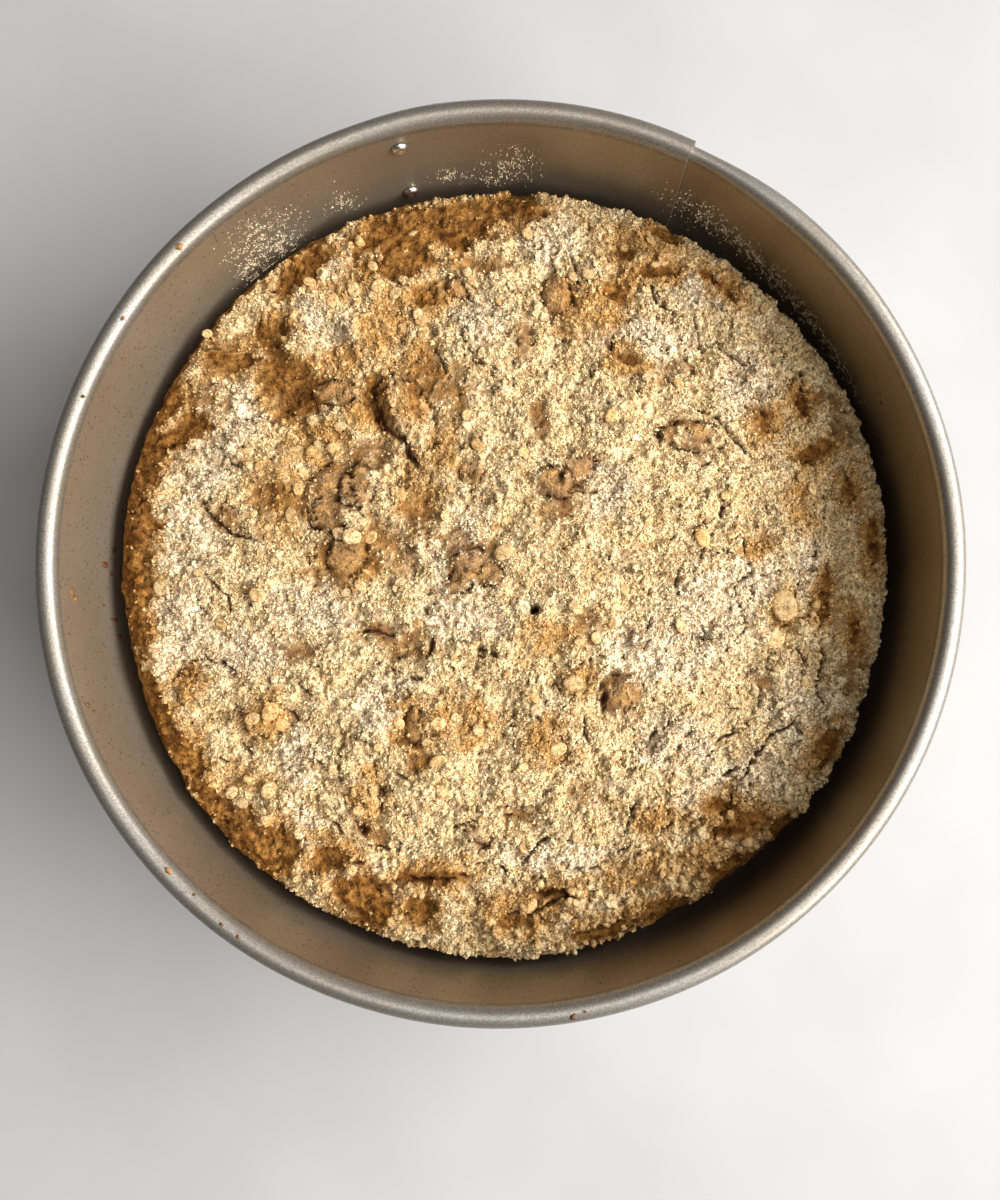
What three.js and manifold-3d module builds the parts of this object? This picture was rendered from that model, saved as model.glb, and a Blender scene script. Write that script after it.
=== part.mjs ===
// A round crumb-topped cake in its own 23 cm springform tin: a sheet-steel band that overlaps
// itself at the back, a loose base held in the band's groove, a riveted lever clasp, and the cake.
// Millimetres and degrees, +Z up. The origin is the middle of the base's flat underside.
// Angles run anticlockwise from +X, seen from above.
import * as THREE from 'three';
import { mergeVertices } from 'three/addons/utils/BufferGeometryUtils.js';
import Module from 'manifold-3d';

const wasm = await Module();
wasm.setup();

// ---- driving dimensions ----
const GAP = 0.3; // left between pieces that touch

// band
const INNER_RADIUS = 114.3; // a 9 in tin
const BAND_TOP = 70;
const BAND_FOOT = 0.3;
const SHEET = 0.8;
const SEAM_ANGLE = 63.7; // where the inner layer ends
const OVERLAP = 35;
const BAND_STEP = 5;
const RIM_RADIUS = 2.85; // outside of the rolled rim, away from the overlap
const RIM_RADIUS_OVER = 3.05; // the inner layer's rim, wrapped over the other one
const RIM_RADIUS_UNDER = 1.8; // the outer layer's rim, tucked inside
const RIM_CURL_END = -60; // where the roll stops, below its outer side
const RIM_STEPS = 6;
const RIM_EASE_OVER = 10;
const RIM_EASE_UNDER = 15;
const GROOVE_Z = 5.2;
const GROOVE_DEPTH = 2.4;
const GROOVE_HALF = 2.6;
const GROOVE_STEPS = 4;

// base
const BASE_SHEET = 0.8;
const BASE_PANEL_RADIUS = 104; // flat part that stands on the table
const BASE_LEDGE_RADIUS = 108;
const BASE_LEDGE_Z = 4.8; // underside of the ledge that sits in the groove
const BASE_EDGE_RADIUS = 115.7;

// cake
const CAKE_RADIUS = 112;
const CAKE_EDGE_Z = 30; // where the side turns into the shoulder
const CAKE_SHOULDER = 9;
const CAKE_DOME = 9; // rise of the top from shoulder to middle
const CAKE_TUCK = 1.6; // how much the side leans in at its foot
const CAKE_AROUND = 56;
const CAKE_ACROSS = 13;
const LUMP_HEIGHT = 0.9;

// clasp
const RIVET_A_ANGLE = 103;
const RIVET_B_ANGLE = 80;
const RIVET_HEIGHTS = { upper: 60.7, lower: 35.7 };
const RIVET_SHANK = 1.3;
const RIVET_HEAD = 2.4;
const RIVET_HEAD_HEIGHT = 1.1;
const PLATE = 0.9;
const PLATE_Z = [32.5, 64.2];
const PLATE_A_HALF = 4;
const PLATE_B_HALF = 3;
const EAR_Z = [36.6, 58.6];
const EAR = 1.2;
const EAR_END = 3.3;
const EAR_ROOT = 2.5; // angle that an ear takes up along the plate's edge, clear of the rivets
const PIVOT_ANGLE = 97.5;
const PIVOT_RADIUS = 122;
const PIVOT_PIN = 1.4;
const LINK_PIN_ANGLE = 103.2;
const LINK_PIN_RADIUS = 119.6;
const LINK_PIN = 1;
const LEVER_Z = [40, 56];
const LEVER_INSIDE = 124.2;
const LEVER_SHEET = 1;
const LEVER_WEB = [105.4, 127];
const LEVER_FLARE = 1;
const LEVER_FLARE_LENGTH = 5;
const FLANGE_Z = [41.4, 53.4];
const FLANGE = 1.2;
const FLANGE_END_ANGLE = 110;
const LINK_Z = [44.6, 51.4];
const LINK_CENTRE = 119.3;
const LINK_SHEET = 1;
const LINK_EYE = 2;
const LINK_END_ANGLE = 77;
const LUG_Z = [46.2, 49.8];
const LUG_HALF = 0.8;
const LUG_TOP_RADIUS = 120.2;
const WINDOW_CLEARANCE = 1;
const ROUND_SEGMENTS = 12;

// ---- worked out from them ----
const rad = THREE.MathUtils.degToRad;
const LAYER_OFFSET = RIM_RADIUS_OVER - RIM_RADIUS_UNDER; // between the two layers' faces
const RIM_CENTRE_Z = BAND_TOP - RIM_RADIUS_OVER;
const BAND_SWEEP = 360 + OVERLAP;
const OUTER_FACE_A = INNER_RADIUS + SHEET;
const OUTER_FACE_B = OUTER_FACE_A + LAYER_OFFSET;
const PLATE_A_INSIDE = OUTER_FACE_A + GAP;
const PLATE_B_INSIDE = OUTER_FACE_B + GAP;

// ---- materials ----
const coating = { color: 0x9c8f80, roughness: 0.42, metalness: 0.75 };
const steel = { color: 0xb9b6b0, roughness: 0.28, metalness: 1 };
const crumb = { color: 0xdcc698, roughness: 0.95, metalness: 0 };

const cakeInTin = new THREE.Group();

function addPiece(name, geometry, look) {
  const mesh = new THREE.Mesh(geometry, new THREE.MeshStandardMaterial(look));
  mesh.name = name;
  cakeInTin.add(mesh);
}

// ---- shared geometry helpers ----
function smooth(t) {
  const u = THREE.MathUtils.clamp(t, 0, 1);
  return u * u * (3 - 2 * u);
}

function polar(angle, radius) {
  return new THREE.Vector2(radius * Math.cos(rad(angle)), radius * Math.sin(rad(angle)));
}

function toSolid(geometry) {
  const bare = geometry.clone();
  bare.deleteAttribute('normal');
  bare.deleteAttribute('uv');
  const merged = mergeVertices(bare, 1e-4);
  return new wasm.Manifold(new wasm.Mesh({
    numProp: 3,
    vertProperties: new Float32Array(merged.attributes.position.array),
    triVerts: new Uint32Array(merged.index.array),
  }));
}

function toGeometry(solid) {
  const { vertProperties, triVerts } = solid.getMesh();
  const geometry = new THREE.BufferGeometry();
  geometry.setAttribute('position', new THREE.BufferAttribute(vertProperties, 3));
  geometry.setIndex(new THREE.BufferAttribute(triVerts, 1));
  geometry.computeVertexNormals();
  return geometry;
}

// A flat outline, seen from above, given a height from z0 to z1.
function slab(shape, z0, z1) {
  const options = { depth: z1 - z0, bevelEnabled: false, curveSegments: ROUND_SEGMENTS / 2 };
  return new THREE.ExtrudeGeometry(shape, options).translate(0, 0, z0);
}

// An outline of even thickness that follows radiusAt(angle) between two angles.
function ribbon(radiusAt, from, to, thickness, steps) {
  const inside = [];
  const outside = [];
  for (let i = 0; i <= steps; i += 1) {
    const angle = from + ((to - from) * i) / steps;
    inside.push(polar(angle, radiusAt(angle)));
    outside.push(polar(angle, radiusAt(angle) + thickness));
  }
  return new THREE.Shape([...outside, ...inside.reverse()]);
}

function uprightPin(angle, radius, pinRadius, z0, z1) {
  const at = polar(angle, radius);
  return new THREE.CylinderGeometry(pinRadius, pinRadius, z1 - z0, ROUND_SEGMENTS)
    .rotateX(Math.PI / 2)
    .translate(at.x, at.y, (z0 + z1) / 2);
}

// A turned piece whose profile gives (radius, distance from the tin's axis), laid out radially.
function radialTurning(profile, angle, z) {
  const points = profile.map(([x, y]) => new THREE.Vector2(x, y));
  return new THREE.LatheGeometry(points, ROUND_SEGMENTS)
    .rotateZ(-Math.PI / 2)
    .rotateZ(rad(angle))
    .translate(0, 0, z);
}

// ---- band ----
// Section of the strip, flat: x is the distance out from the inner face, y is the height.
function bandSection() {
  const points = [];
  const grooveArc = (x0) => Array.from({ length: GROOVE_STEPS + 1 }, (_, i) => {
    const turn = (Math.PI * i) / GROOVE_STEPS;
    const z = GROOVE_Z - GROOVE_HALF * Math.cos(turn);
    return new THREE.Vector2(x0 + GROOVE_DEPTH * Math.sin(turn), z);
  });
  const curlArc = (radius, steps) => Array.from({ length: steps + 1 }, (_, i) => {
    const angle = rad(180 + ((RIM_CURL_END - 180) * i) / steps);
    const x = RIM_RADIUS + radius * Math.cos(angle);
    return new THREE.Vector2(x, RIM_CENTRE_Z + radius * Math.sin(angle));
  });
  points.push(new THREE.Vector2(0, BAND_FOOT), ...grooveArc(0), ...curlArc(RIM_RADIUS, RIM_STEPS));
  points.push(...curlArc(RIM_RADIUS - SHEET, RIM_STEPS - 1).reverse(), ...grooveArc(SHEET).reverse());
  points.push(new THREE.Vector2(SHEET, BAND_FOOT));
  return new THREE.Shape(points);
}

// Radius of the rolled rim and outward shift of the wall, so far along the strip.
function stripState(along) {
  const under = smooth((along - (360 - RIM_EASE_UNDER)) / RIM_EASE_UNDER);
  const over = 1 - smooth((along - OVERLAP) / RIM_EASE_OVER);
  const rim = RIM_RADIUS + (RIM_RADIUS_OVER - RIM_RADIUS) * over
    + (RIM_RADIUS_UNDER - RIM_RADIUS) * under;
  return { rim, shift: LAYER_OFFSET * under };
}

function bandGeometry() {
  const steps = BAND_SWEEP / BAND_STEP;
  const options = { depth: BAND_SWEEP, steps, bevelEnabled: false };
  const geometry = new THREE.ExtrudeGeometry(bandSection(), options);
  const position = geometry.attributes.position;
  const middle = BAND_TOP / 2;
  for (let i = 0; i < position.count; i += 1) {
    // Counted from the far end, which keeps the faces pointing out once the strip is bent.
    const along = BAND_SWEEP - position.getZ(i);
    const { rim, shift } = stripState(along);
    let out = position.getX(i);
    let height = position.getY(i);
    const inRoll = height > middle;
    if (inRoll) {
      const fromCentre = new THREE.Vector2(out - RIM_RADIUS, height - RIM_CENTRE_Z);
      fromCentre.setLength(fromCentre.length() + rim - RIM_RADIUS);
      out = rim + fromCentre.x;
      height = RIM_CENTRE_Z + fromCentre.y;
    }
    const at = polar(SEAM_ANGLE + along, INNER_RADIUS + shift + out);
    position.setXYZ(i, at.x, at.y, height);
  }
  return geometry;
}

function rivetHole(angle, z) {
  const wide = RIVET_SHANK + GAP;
  return toSolid(radialTurning([[0, 110], [wide, 110], [wide, 121], [0, 121]], angle, z));
}

function band() {
  let solid = toSolid(bandGeometry());
  for (const z of Object.values(RIVET_HEIGHTS)) {
    solid = solid.subtract(rivetHole(RIVET_A_ANGLE, z));
    // The other pair goes through the outer layer only, so the inner layer stays whole.
    const wide = RIVET_SHANK + GAP;
    const from = OUTER_FACE_A + LAYER_OFFSET / 4;
    const profile = [[0, from], [wide, from], [wide, 121], [0, 121]];
    solid = solid.subtract(toSolid(radialTurning(profile, RIVET_B_ANGLE, z)));
  }
  return toGeometry(solid);
}

// ---- base ----
function base() {
  const profile = [
    [0, 0],
    [BASE_PANEL_RADIUS, 0],
    [BASE_LEDGE_RADIUS, BASE_LEDGE_Z],
    [BASE_EDGE_RADIUS, BASE_LEDGE_Z],
    [BASE_EDGE_RADIUS, BASE_LEDGE_Z + BASE_SHEET],
    [BASE_LEDGE_RADIUS - BASE_SHEET / 2, BASE_LEDGE_Z + BASE_SHEET],
    [BASE_PANEL_RADIUS - BASE_SHEET / 2, BASE_SHEET],
    [0, BASE_SHEET],
  ].map(([x, y]) => new THREE.Vector2(x, y));
  return new THREE.LatheGeometry(profile, 360 / BAND_STEP).rotateX(Math.PI / 2);
}

// ---- cake ----
// Low swells of the baked top and its slightly uneven outline.
function lump(x, y) {
  const slow = Math.sin(x / 17 + 0.6) * Math.cos(y / 21 - 0.4);
  const quick = Math.sin(x / 8.5 - y / 13) * Math.cos(y / 9.5 + x / 23);
  return LUMP_HEIGHT * (0.7 * slow + 0.5 * quick);
}

function outlineSwell(angle) {
  return 0.5 * Math.sin(3 * angle + 0.7) + 0.35 * Math.sin(7 * angle - 0.5);
}

function cake() {
  const foot = BASE_SHEET + GAP;
  const ledge = BASE_LEDGE_Z + BASE_SHEET + GAP;
  const side = CAKE_RADIUS - CAKE_TUCK;
  const profile = [
    [0, foot],
    [BASE_PANEL_RADIUS - 1, foot],
    [BASE_LEDGE_RADIUS - 1, ledge],
    [side - 1, ledge],
    [side, ledge + 1],
    [CAKE_RADIUS, CAKE_EDGE_Z],
  ];
  for (let i = 1; i <= CAKE_ACROSS; i += 1) {
    // A rounded shoulder first, then the slow dome up to the middle.
    const t = i / CAKE_ACROSS;
    const inward = CAKE_RADIUS * t ** 1.7;
    const turn = smooth(inward / CAKE_SHOULDER);
    const rise = 1 - (1 - inward / CAKE_RADIUS) ** 2;
    const drop = CAKE_SHOULDER * Math.sin((turn * Math.PI) / 2);
    profile.push([CAKE_RADIUS - inward, CAKE_EDGE_Z + drop + CAKE_DOME * rise]);
  }
  const points = profile.map(([x, y]) => new THREE.Vector2(x, y));
  const geometry = new THREE.LatheGeometry(points, CAKE_AROUND).rotateX(Math.PI / 2);
  const position = geometry.attributes.position;
  for (let i = 0; i < position.count; i += 1) {
    const x = position.getX(i);
    const y = position.getY(i);
    const z = position.getZ(i);
    const reach = Math.hypot(x, y) / CAKE_RADIUS;
    const up = smooth((z - CAKE_EDGE_Z) / CAKE_SHOULDER);
    const grow = 1 + (outlineSwell(Math.atan2(y, x)) / CAKE_RADIUS) * smooth(reach * 4 - 3);
    position.setXYZ(i, x * grow, y * grow, z + up * lump(x, y));
  }
  return geometry;
}

// ---- rivets ----
function rivet(angle, z, headInside, plateOutside) {
  const profile = [];
  if (headInside) {
    const face = INNER_RADIUS - GAP;
    profile.push([0, face - RIVET_HEAD_HEIGHT], [RIVET_HEAD * 0.6, face - RIVET_HEAD_HEIGHT * 0.8]);
    profile.push([RIVET_HEAD, face - RIVET_HEAD_HEIGHT * 0.25], [RIVET_HEAD, face]);
    profile.push([RIVET_SHANK, face]);
  } else {
    profile.push([0, OUTER_FACE_B - SHEET], [RIVET_SHANK, OUTER_FACE_B - SHEET]);
  }
  const seat = plateOutside + GAP;
  profile.push([RIVET_SHANK, seat], [RIVET_HEAD, seat], [RIVET_HEAD, seat + 0.4]);
  profile.push([RIVET_HEAD * 0.6, seat + 0.8], [0, seat + 0.8]);
  return radialTurning(profile, angle, z);
}

// ---- brackets ----
function plate(angle, half, inside) {
  const outline = ribbon(() => inside, angle - half, angle + half, PLATE, 4);
  let solid = toSolid(slab(outline, ...PLATE_Z));
  for (const z of Object.values(RIVET_HEIGHTS)) {
    solid = solid.subtract(rivetHole(angle, z));
  }
  return solid;
}

function pivotBracket() {
  let solid = plate(RIVET_A_ANGLE, PLATE_A_HALF, PLATE_A_INSIDE);
  const pivot = polar(PIVOT_ANGLE, PIVOT_RADIUS);
  const root = PLATE_A_INSIDE + PLATE / 2;
  const ear = new THREE.Shape();
  const right = polar(RIVET_A_ANGLE - PLATE_A_HALF, root);
  const left = polar(RIVET_A_ANGLE - PLATE_A_HALF + EAR_ROOT, root);
  ear.moveTo(left.x, left.y);
  ear.lineTo(right.x, right.y);
  ear.absarc(pivot.x, pivot.y, EAR_END, rad(PIVOT_ANGLE - 130), rad(PIVOT_ANGLE + 20), false);
  const hole = toSolid(uprightPin(PIVOT_ANGLE, PIVOT_RADIUS, PIVOT_PIN + GAP, ...PLATE_Z));
  for (const z of EAR_Z) {
    solid = solid.add(toSolid(slab(ear, z, z + EAR)).subtract(hole));
  }
  return toGeometry(solid);
}

function catchBracket() {
  const solid = plate(RIVET_B_ANGLE, PLATE_B_HALF, PLATE_B_INSIDE);
  const root = PLATE_B_INSIDE + PLATE / 2;
  const lug = ribbon(() => root, RIVET_B_ANGLE - LUG_HALF, RIVET_B_ANGLE + LUG_HALF,
    LUG_TOP_RADIUS - root, 1);
  return toGeometry(solid.add(toSolid(slab(lug, ...LUG_Z))));
}

// ---- lever, link and pins ----
function lever() {
  const [webFrom, webTo] = LEVER_WEB;
  const flare = (angle) => LEVER_FLARE * smooth((angle - webTo) / LEVER_FLARE_LENGTH + 1);
  const web = ribbon((angle) => LEVER_INSIDE + flare(angle), webFrom, webTo, LEVER_SHEET, 12);
  let solid = toSolid(slab(web, ...LEVER_Z));

  const pivot = polar(PIVOT_ANGLE, PIVOT_RADIUS);
  const eye = polar(LINK_PIN_ANGLE, LINK_PIN_RADIUS);
  const outside = LEVER_INSIDE + LEVER_SHEET / 2;
  const flange = new THREE.Shape();
  flange.absarc(pivot.x, pivot.y, EAR_END, rad(PIVOT_ANGLE - 160), rad(PIVOT_ANGLE + 10), false);
  flange.absarc(0, 0, outside, rad(PIVOT_ANGLE + 1), rad(FLANGE_END_ANGLE), false);
  flange.absarc(eye.x, eye.y, LINK_EYE + 0.2, rad(LINK_PIN_ANGLE + 80),
    rad(LINK_PIN_ANGLE + 190), false);
  const pivotHole = toSolid(uprightPin(PIVOT_ANGLE, PIVOT_RADIUS, PIVOT_PIN + GAP, ...LEVER_Z));
  const pinHole = toSolid(uprightPin(LINK_PIN_ANGLE, LINK_PIN_RADIUS, LINK_PIN + GAP, ...LEVER_Z));
  for (const z of FLANGE_Z) {
    solid = solid.add(toSolid(slab(flange, z, z + FLANGE)).subtract(pivotHole).subtract(pinHole));
  }
  return toGeometry(solid);
}

function link() {
  const strip = ribbon(() => LINK_CENTRE - LINK_SHEET / 2, LINK_END_ANGLE,
    LINK_PIN_ANGLE, LINK_SHEET, 10);
  const eye = toSolid(uprightPin(LINK_PIN_ANGLE, LINK_PIN_RADIUS, LINK_EYE, ...LINK_Z));
  const bore = toSolid(uprightPin(LINK_PIN_ANGLE, LINK_PIN_RADIUS, LINK_PIN + GAP, ...PLATE_Z));
  const slack = LUG_HALF + THREE.MathUtils.radToDeg(WINDOW_CLEARANCE / LINK_CENTRE);
  const window = ribbon(() => LINK_CENTRE - 5, RIVET_B_ANGLE - slack, RIVET_B_ANGLE + slack, 10, 1);
  const windowZ = [LUG_Z[0] - WINDOW_CLEARANCE, LUG_Z[1] + WINDOW_CLEARANCE];
  return toGeometry(toSolid(slab(strip, ...LINK_Z)).add(eye).subtract(bore)
    .subtract(toSolid(slab(window, ...windowZ))));
}

// A plain pin with a low head above and below the pair of plates it joins.
function headedPin(angle, radius, pinRadius, z0, z1) {
  const head = pinRadius + 0.8;
  const [foot, top] = [z0 - GAP, z1 + GAP];
  const profile = [[0, foot - 0.7], [head, foot - 0.7], [head, foot], [pinRadius, foot]];
  profile.push([pinRadius, top], [head, top], [head, top + 0.7], [0, top + 0.7]);
  const at = polar(angle, radius);
  const points = profile.map(([x, y]) => new THREE.Vector2(x, y));
  return new THREE.LatheGeometry(points, ROUND_SEGMENTS)
    .rotateX(Math.PI / 2)
    .translate(at.x, at.y, 0);
}

// ---- the whole ----
addPiece('tin_band', band(), coating);
addPiece('tin_base', base(), coating);
addPiece('cake', cake(), crumb);
for (const [where, z] of Object.entries(RIVET_HEIGHTS)) {
  addPiece(`rivet_left_${where}`, rivet(RIVET_A_ANGLE, z, true, PLATE_A_INSIDE + PLATE), steel);
  addPiece(`rivet_right_${where}`, rivet(RIVET_B_ANGLE, z, false, PLATE_B_INSIDE + PLATE), steel);
}
addPiece('pivot_bracket', pivotBracket(), steel);
addPiece('catch_bracket', catchBracket(), steel);
// Two short pins, so that the link can swing out between them.
addPiece('pivot_pin_upper',
  headedPin(PIVOT_ANGLE, PIVOT_RADIUS, PIVOT_PIN, FLANGE_Z[1], EAR_Z[1] + EAR), steel);
addPiece('pivot_pin_lower',
  headedPin(PIVOT_ANGLE, PIVOT_RADIUS, PIVOT_PIN, EAR_Z[0], FLANGE_Z[0] + FLANGE), steel);
addPiece('clasp_lever', lever(), steel);
addPiece('link_pin',
  headedPin(LINK_PIN_ANGLE, LINK_PIN_RADIUS, LINK_PIN, FLANGE_Z[0], FLANGE_Z[1] + FLANGE), steel);
addPiece('clasp_link', link(), steel);

export default cakeInTin;
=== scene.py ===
import math

import bmesh
import bpy
import numpy as np
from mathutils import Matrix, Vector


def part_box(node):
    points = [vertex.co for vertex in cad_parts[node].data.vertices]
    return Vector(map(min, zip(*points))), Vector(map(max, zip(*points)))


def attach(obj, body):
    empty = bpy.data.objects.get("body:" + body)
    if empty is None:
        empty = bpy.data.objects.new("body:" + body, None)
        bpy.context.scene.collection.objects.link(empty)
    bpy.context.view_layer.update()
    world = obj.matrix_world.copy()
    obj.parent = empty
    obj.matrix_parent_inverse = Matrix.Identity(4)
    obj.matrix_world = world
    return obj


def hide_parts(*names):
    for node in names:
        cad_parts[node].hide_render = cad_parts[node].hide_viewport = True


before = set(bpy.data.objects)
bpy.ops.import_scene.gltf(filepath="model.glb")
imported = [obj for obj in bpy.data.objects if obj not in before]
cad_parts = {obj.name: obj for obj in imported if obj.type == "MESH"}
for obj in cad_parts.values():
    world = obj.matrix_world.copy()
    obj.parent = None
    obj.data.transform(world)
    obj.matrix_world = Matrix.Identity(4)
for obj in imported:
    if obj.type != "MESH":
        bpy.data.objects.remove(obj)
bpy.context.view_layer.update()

# ---- band ----
# A strip of thin steel with a non-stick coating, rolled over a wire edge at the top and beaded near its
# foot to hold the base. It is bent into a ring whose ends aren't joined: the inner end laps over the outer
# one at the back, where its bare cut edge shows, and the clasp pulls the two together.
MM = 0.001  # sizes in this file are millimetres, and angles run anticlockwise from +X
BAND_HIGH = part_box("tin_band")[1].z / MM
BAND_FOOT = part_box("tin_band")[0].z / MM
INNER_RADIUS = 114.3
SHEET = 0.8
SEAM_ANGLE = 63.7
OVERLAP = 35
RIM_RADIUS = 2.85
RIM_RADIUS_OVER = 3.05
RIM_RADIUS_UNDER = 1.8
RIM_CURL_END = -100
RIM_CENTRE_Z = BAND_HIGH - RIM_RADIUS_OVER
GROOVE_Z = 5.2
GROOVE_DEPTH = 2.4
GROOVE_HALF = 2.6
BAND_STEPS = 270
OVER_EASE = 10  # how far round the wrapped-over rim takes to slim down to the plain one
UNDER_EASE = 15  # and the plain one to the rim tucked inside


def ease(t):
    """0 to 1 with a soft start and stop."""
    t = np.clip(t, 0, 1)
    return t * t * (3 - 2 * t)


def ring_point(angle, radius, z):
    """A place on a ring round the tin's axis; the angle is in degrees."""
    turn = np.radians(angle)
    return np.stack(np.broadcast_arrays(radius * np.cos(turn), radius * np.sin(turn), z), axis=-1)


def add_piece(name, points, faces, materials, body, stands_for, bend=40):
    """Makes a mesh piece from points in millimetres and hangs it on its body."""
    mesh = bpy.data.meshes.new(name)
    mesh.from_pydata(np.asarray(points) * MM, [], faces)
    mesh.validate()
    mesh.shade_smooth()
    if bend:
        mesh.set_sharp_from_angle(angle=math.radians(bend))
    for material in materials:
        mesh.materials.append(material)
    piece = bpy.data.objects.new(name, mesh)
    bpy.context.scene.collection.objects.link(piece)
    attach(piece, body)
    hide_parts(*stands_for)
    return piece


def strip_section(rim, shift):
    """Inner and outer skin of the strip, as distances out from the band's inner face and heights."""
    turns = np.linspace(0, np.pi, 11)
    wall = np.linspace(GROOVE_Z + GROOVE_HALF + 1, RIM_CENTRE_Z - 1, 6)
    curl = np.radians(np.linspace(180, RIM_CURL_END, 26))
    skins = []
    for depth in (0, SHEET):
        roll = rim - depth
        out = [0, *(GROOVE_DEPTH * np.sin(turns)), *(0 * wall)]
        high = [BAND_FOOT, *(GROOVE_Z - GROOVE_HALF * np.cos(turns)), *wall]
        out = np.array(out) + depth
        skins.append(np.column_stack([
            np.concatenate([out, rim + roll * np.cos(curl)]) + shift,
            np.concatenate([high, RIM_CENTRE_Z + roll * np.sin(curl)]),
        ]))
    return skins


def band_mesh():
    """The strip bent into a ring that overlaps itself, and where the faces of its two cut ends start."""
    points = []
    for along in np.linspace(0, 360 + OVERLAP, BAND_STEPS + 1):
        under = ease((along - 360 + UNDER_EASE) / UNDER_EASE)
        over = 1 - ease((along - OVERLAP) / OVER_EASE)
        rim = RIM_RADIUS + (RIM_RADIUS_OVER - RIM_RADIUS) * over + (RIM_RADIUS_UNDER - RIM_RADIUS) * under
        inner, outer = strip_section(rim, (RIM_RADIUS_OVER - RIM_RADIUS_UNDER) * under)
        loop = np.concatenate([inner, outer[::-1]])
        # A spun and bent strip is never quite true.
        wander = 0.12 * np.sin(math.radians(3 * along) + 0.5) + 0.05 * np.sin(math.radians(11 * along))
        lift = ease((loop[:, 1] - 10) / 50)
        points.append(ring_point(SEAM_ANGLE + along, INNER_RADIUS + loop[:, 0] + wander * lift, loop[:, 1]))
    round_section = len(points[0])
    faces = []
    for i in range(BAND_STEPS):
        for j in range(round_section):
            k = (j + 1) % round_section
            a, b = i * round_section, (i + 1) * round_section
            faces.append((a + j, b + j, b + k, a + k))
    skin = len(faces)
    last = BAND_STEPS * round_section
    for j in range(round_section // 2 - 1):
        k = round_section - 1 - j
        faces.append((j, j + 1, k - 1, k))
        faces.append((last + j, last + k, last + k - 1, last + j + 1))
    return np.concatenate(points), faces, skin


def node(tree, kind, inputs=None, **settings):
    """Adds a shader node, with its settings, and its inputs as values or as links."""
    made = tree.nodes.new("ShaderNode" + kind)
    for name, value in settings.items():
        setattr(made, name, value)
    for socket, value in (inputs or {}).items():
        if isinstance(value, bpy.types.NodeSocket):
            tree.links.new(value, made.inputs[socket])
        else:
            made.inputs[socket].default_value = value
    return made


def mixed(tree, share, first, second, blend="MIX"):
    """One colour mixed into another."""
    first, second = ((*c, 1) if isinstance(c, tuple) else c for c in (first, second))
    return node(tree, "Mix", {0: share, 6: first, 7: second}, data_type="RGBA", blend_type=blend).outputs[2]


def spread(tree, value, low, high, to_low=0.0, to_high=1.0):
    """A value between low and high stretched over another range."""
    return node(tree, "MapRange", {0: value, 1: low, 2: high, 3: to_low, 4: to_high}).outputs[0]


def sums(tree, first, second, operation="ADD"):
    """Two values added, or put together by another operation."""
    return node(tree, "Math", {0: first, 1: second}, operation=operation).outputs[0]


def mottle(tree, size, detail=2.0, roughness=0.5):
    """Noise over the surface with features of about that size in millimetres."""
    place = node(tree, "TexCoord").outputs["Object"]
    look = {"Vector": place, "Scale": 1 / (size * MM), "Detail": detail, "Roughness": roughness}
    return node(tree, "TexNoise", look).outputs["Fac"]


def effect(name, inputs, outputs):
    """A new shader node group, with its input and output nodes."""
    group = bpy.data.node_groups.new(name, "ShaderNodeTree")
    for socket, kind in inputs:
        group.interface.new_socket(socket, in_out="INPUT", socket_type="NodeSocket" + kind)
    for socket, kind in outputs:
        group.interface.new_socket(socket, in_out="OUTPUT", socket_type="NodeSocket" + kind)
    return group, group.nodes.new("NodeGroupInput").outputs, group.nodes.new("NodeGroupOutput").inputs


def placed(tree, group, inputs=None):
    """The outputs of a node group put to use in a material."""
    return node(tree, "Group", inputs, node_tree=group).outputs


def new_material(name):
    """A material, its node tree and its shader's inputs."""
    material = bpy.data.materials.new(name)
    material.use_nodes = True
    return material, material.node_tree, material.node_tree.nodes["Principled BSDF"].inputs


def metallic_fleck():
    """The coating's fine light and dark metal fleck, with slow clouding from baking."""
    group, given, out = effect(
        "metallic_fleck",
        [("Coat Colour", "Color"), ("Fleck Strength", "Float")],
        [("Colour", "Color"), ("Roughness", "Float"), ("Height", "Float")])
    tree = group
    fleck = spread(tree, mottle(tree, 0.5, 3, 0.7), 0.3, 0.7)
    cloud = spread(tree, mottle(tree, 26, 3), 0.3, 0.7)
    lighter = mixed(tree, 1.0, given["Coat Colour"], (1.5, 1.46, 1.4), "MULTIPLY")
    darker = mixed(tree, 1.0, given["Coat Colour"], (0.55, 0.54, 0.53), "MULTIPLY")
    flecked = mixed(tree, fleck, darker, lighter)
    colour = mixed(tree, given["Fleck Strength"], given["Coat Colour"], flecked)
    warmer = mixed(tree, 1.0, colour, (0.94, 0.88, 0.8), "MULTIPLY")
    tree.links.new(mixed(tree, cloud, colour, warmer), out["Colour"])
    tree.links.new(spread(tree, fleck, 0, 1, 0.5, 0.36), out["Roughness"])
    tree.links.new(fleck, out["Height"])
    return group


fleck_effect = metallic_fleck()


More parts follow.
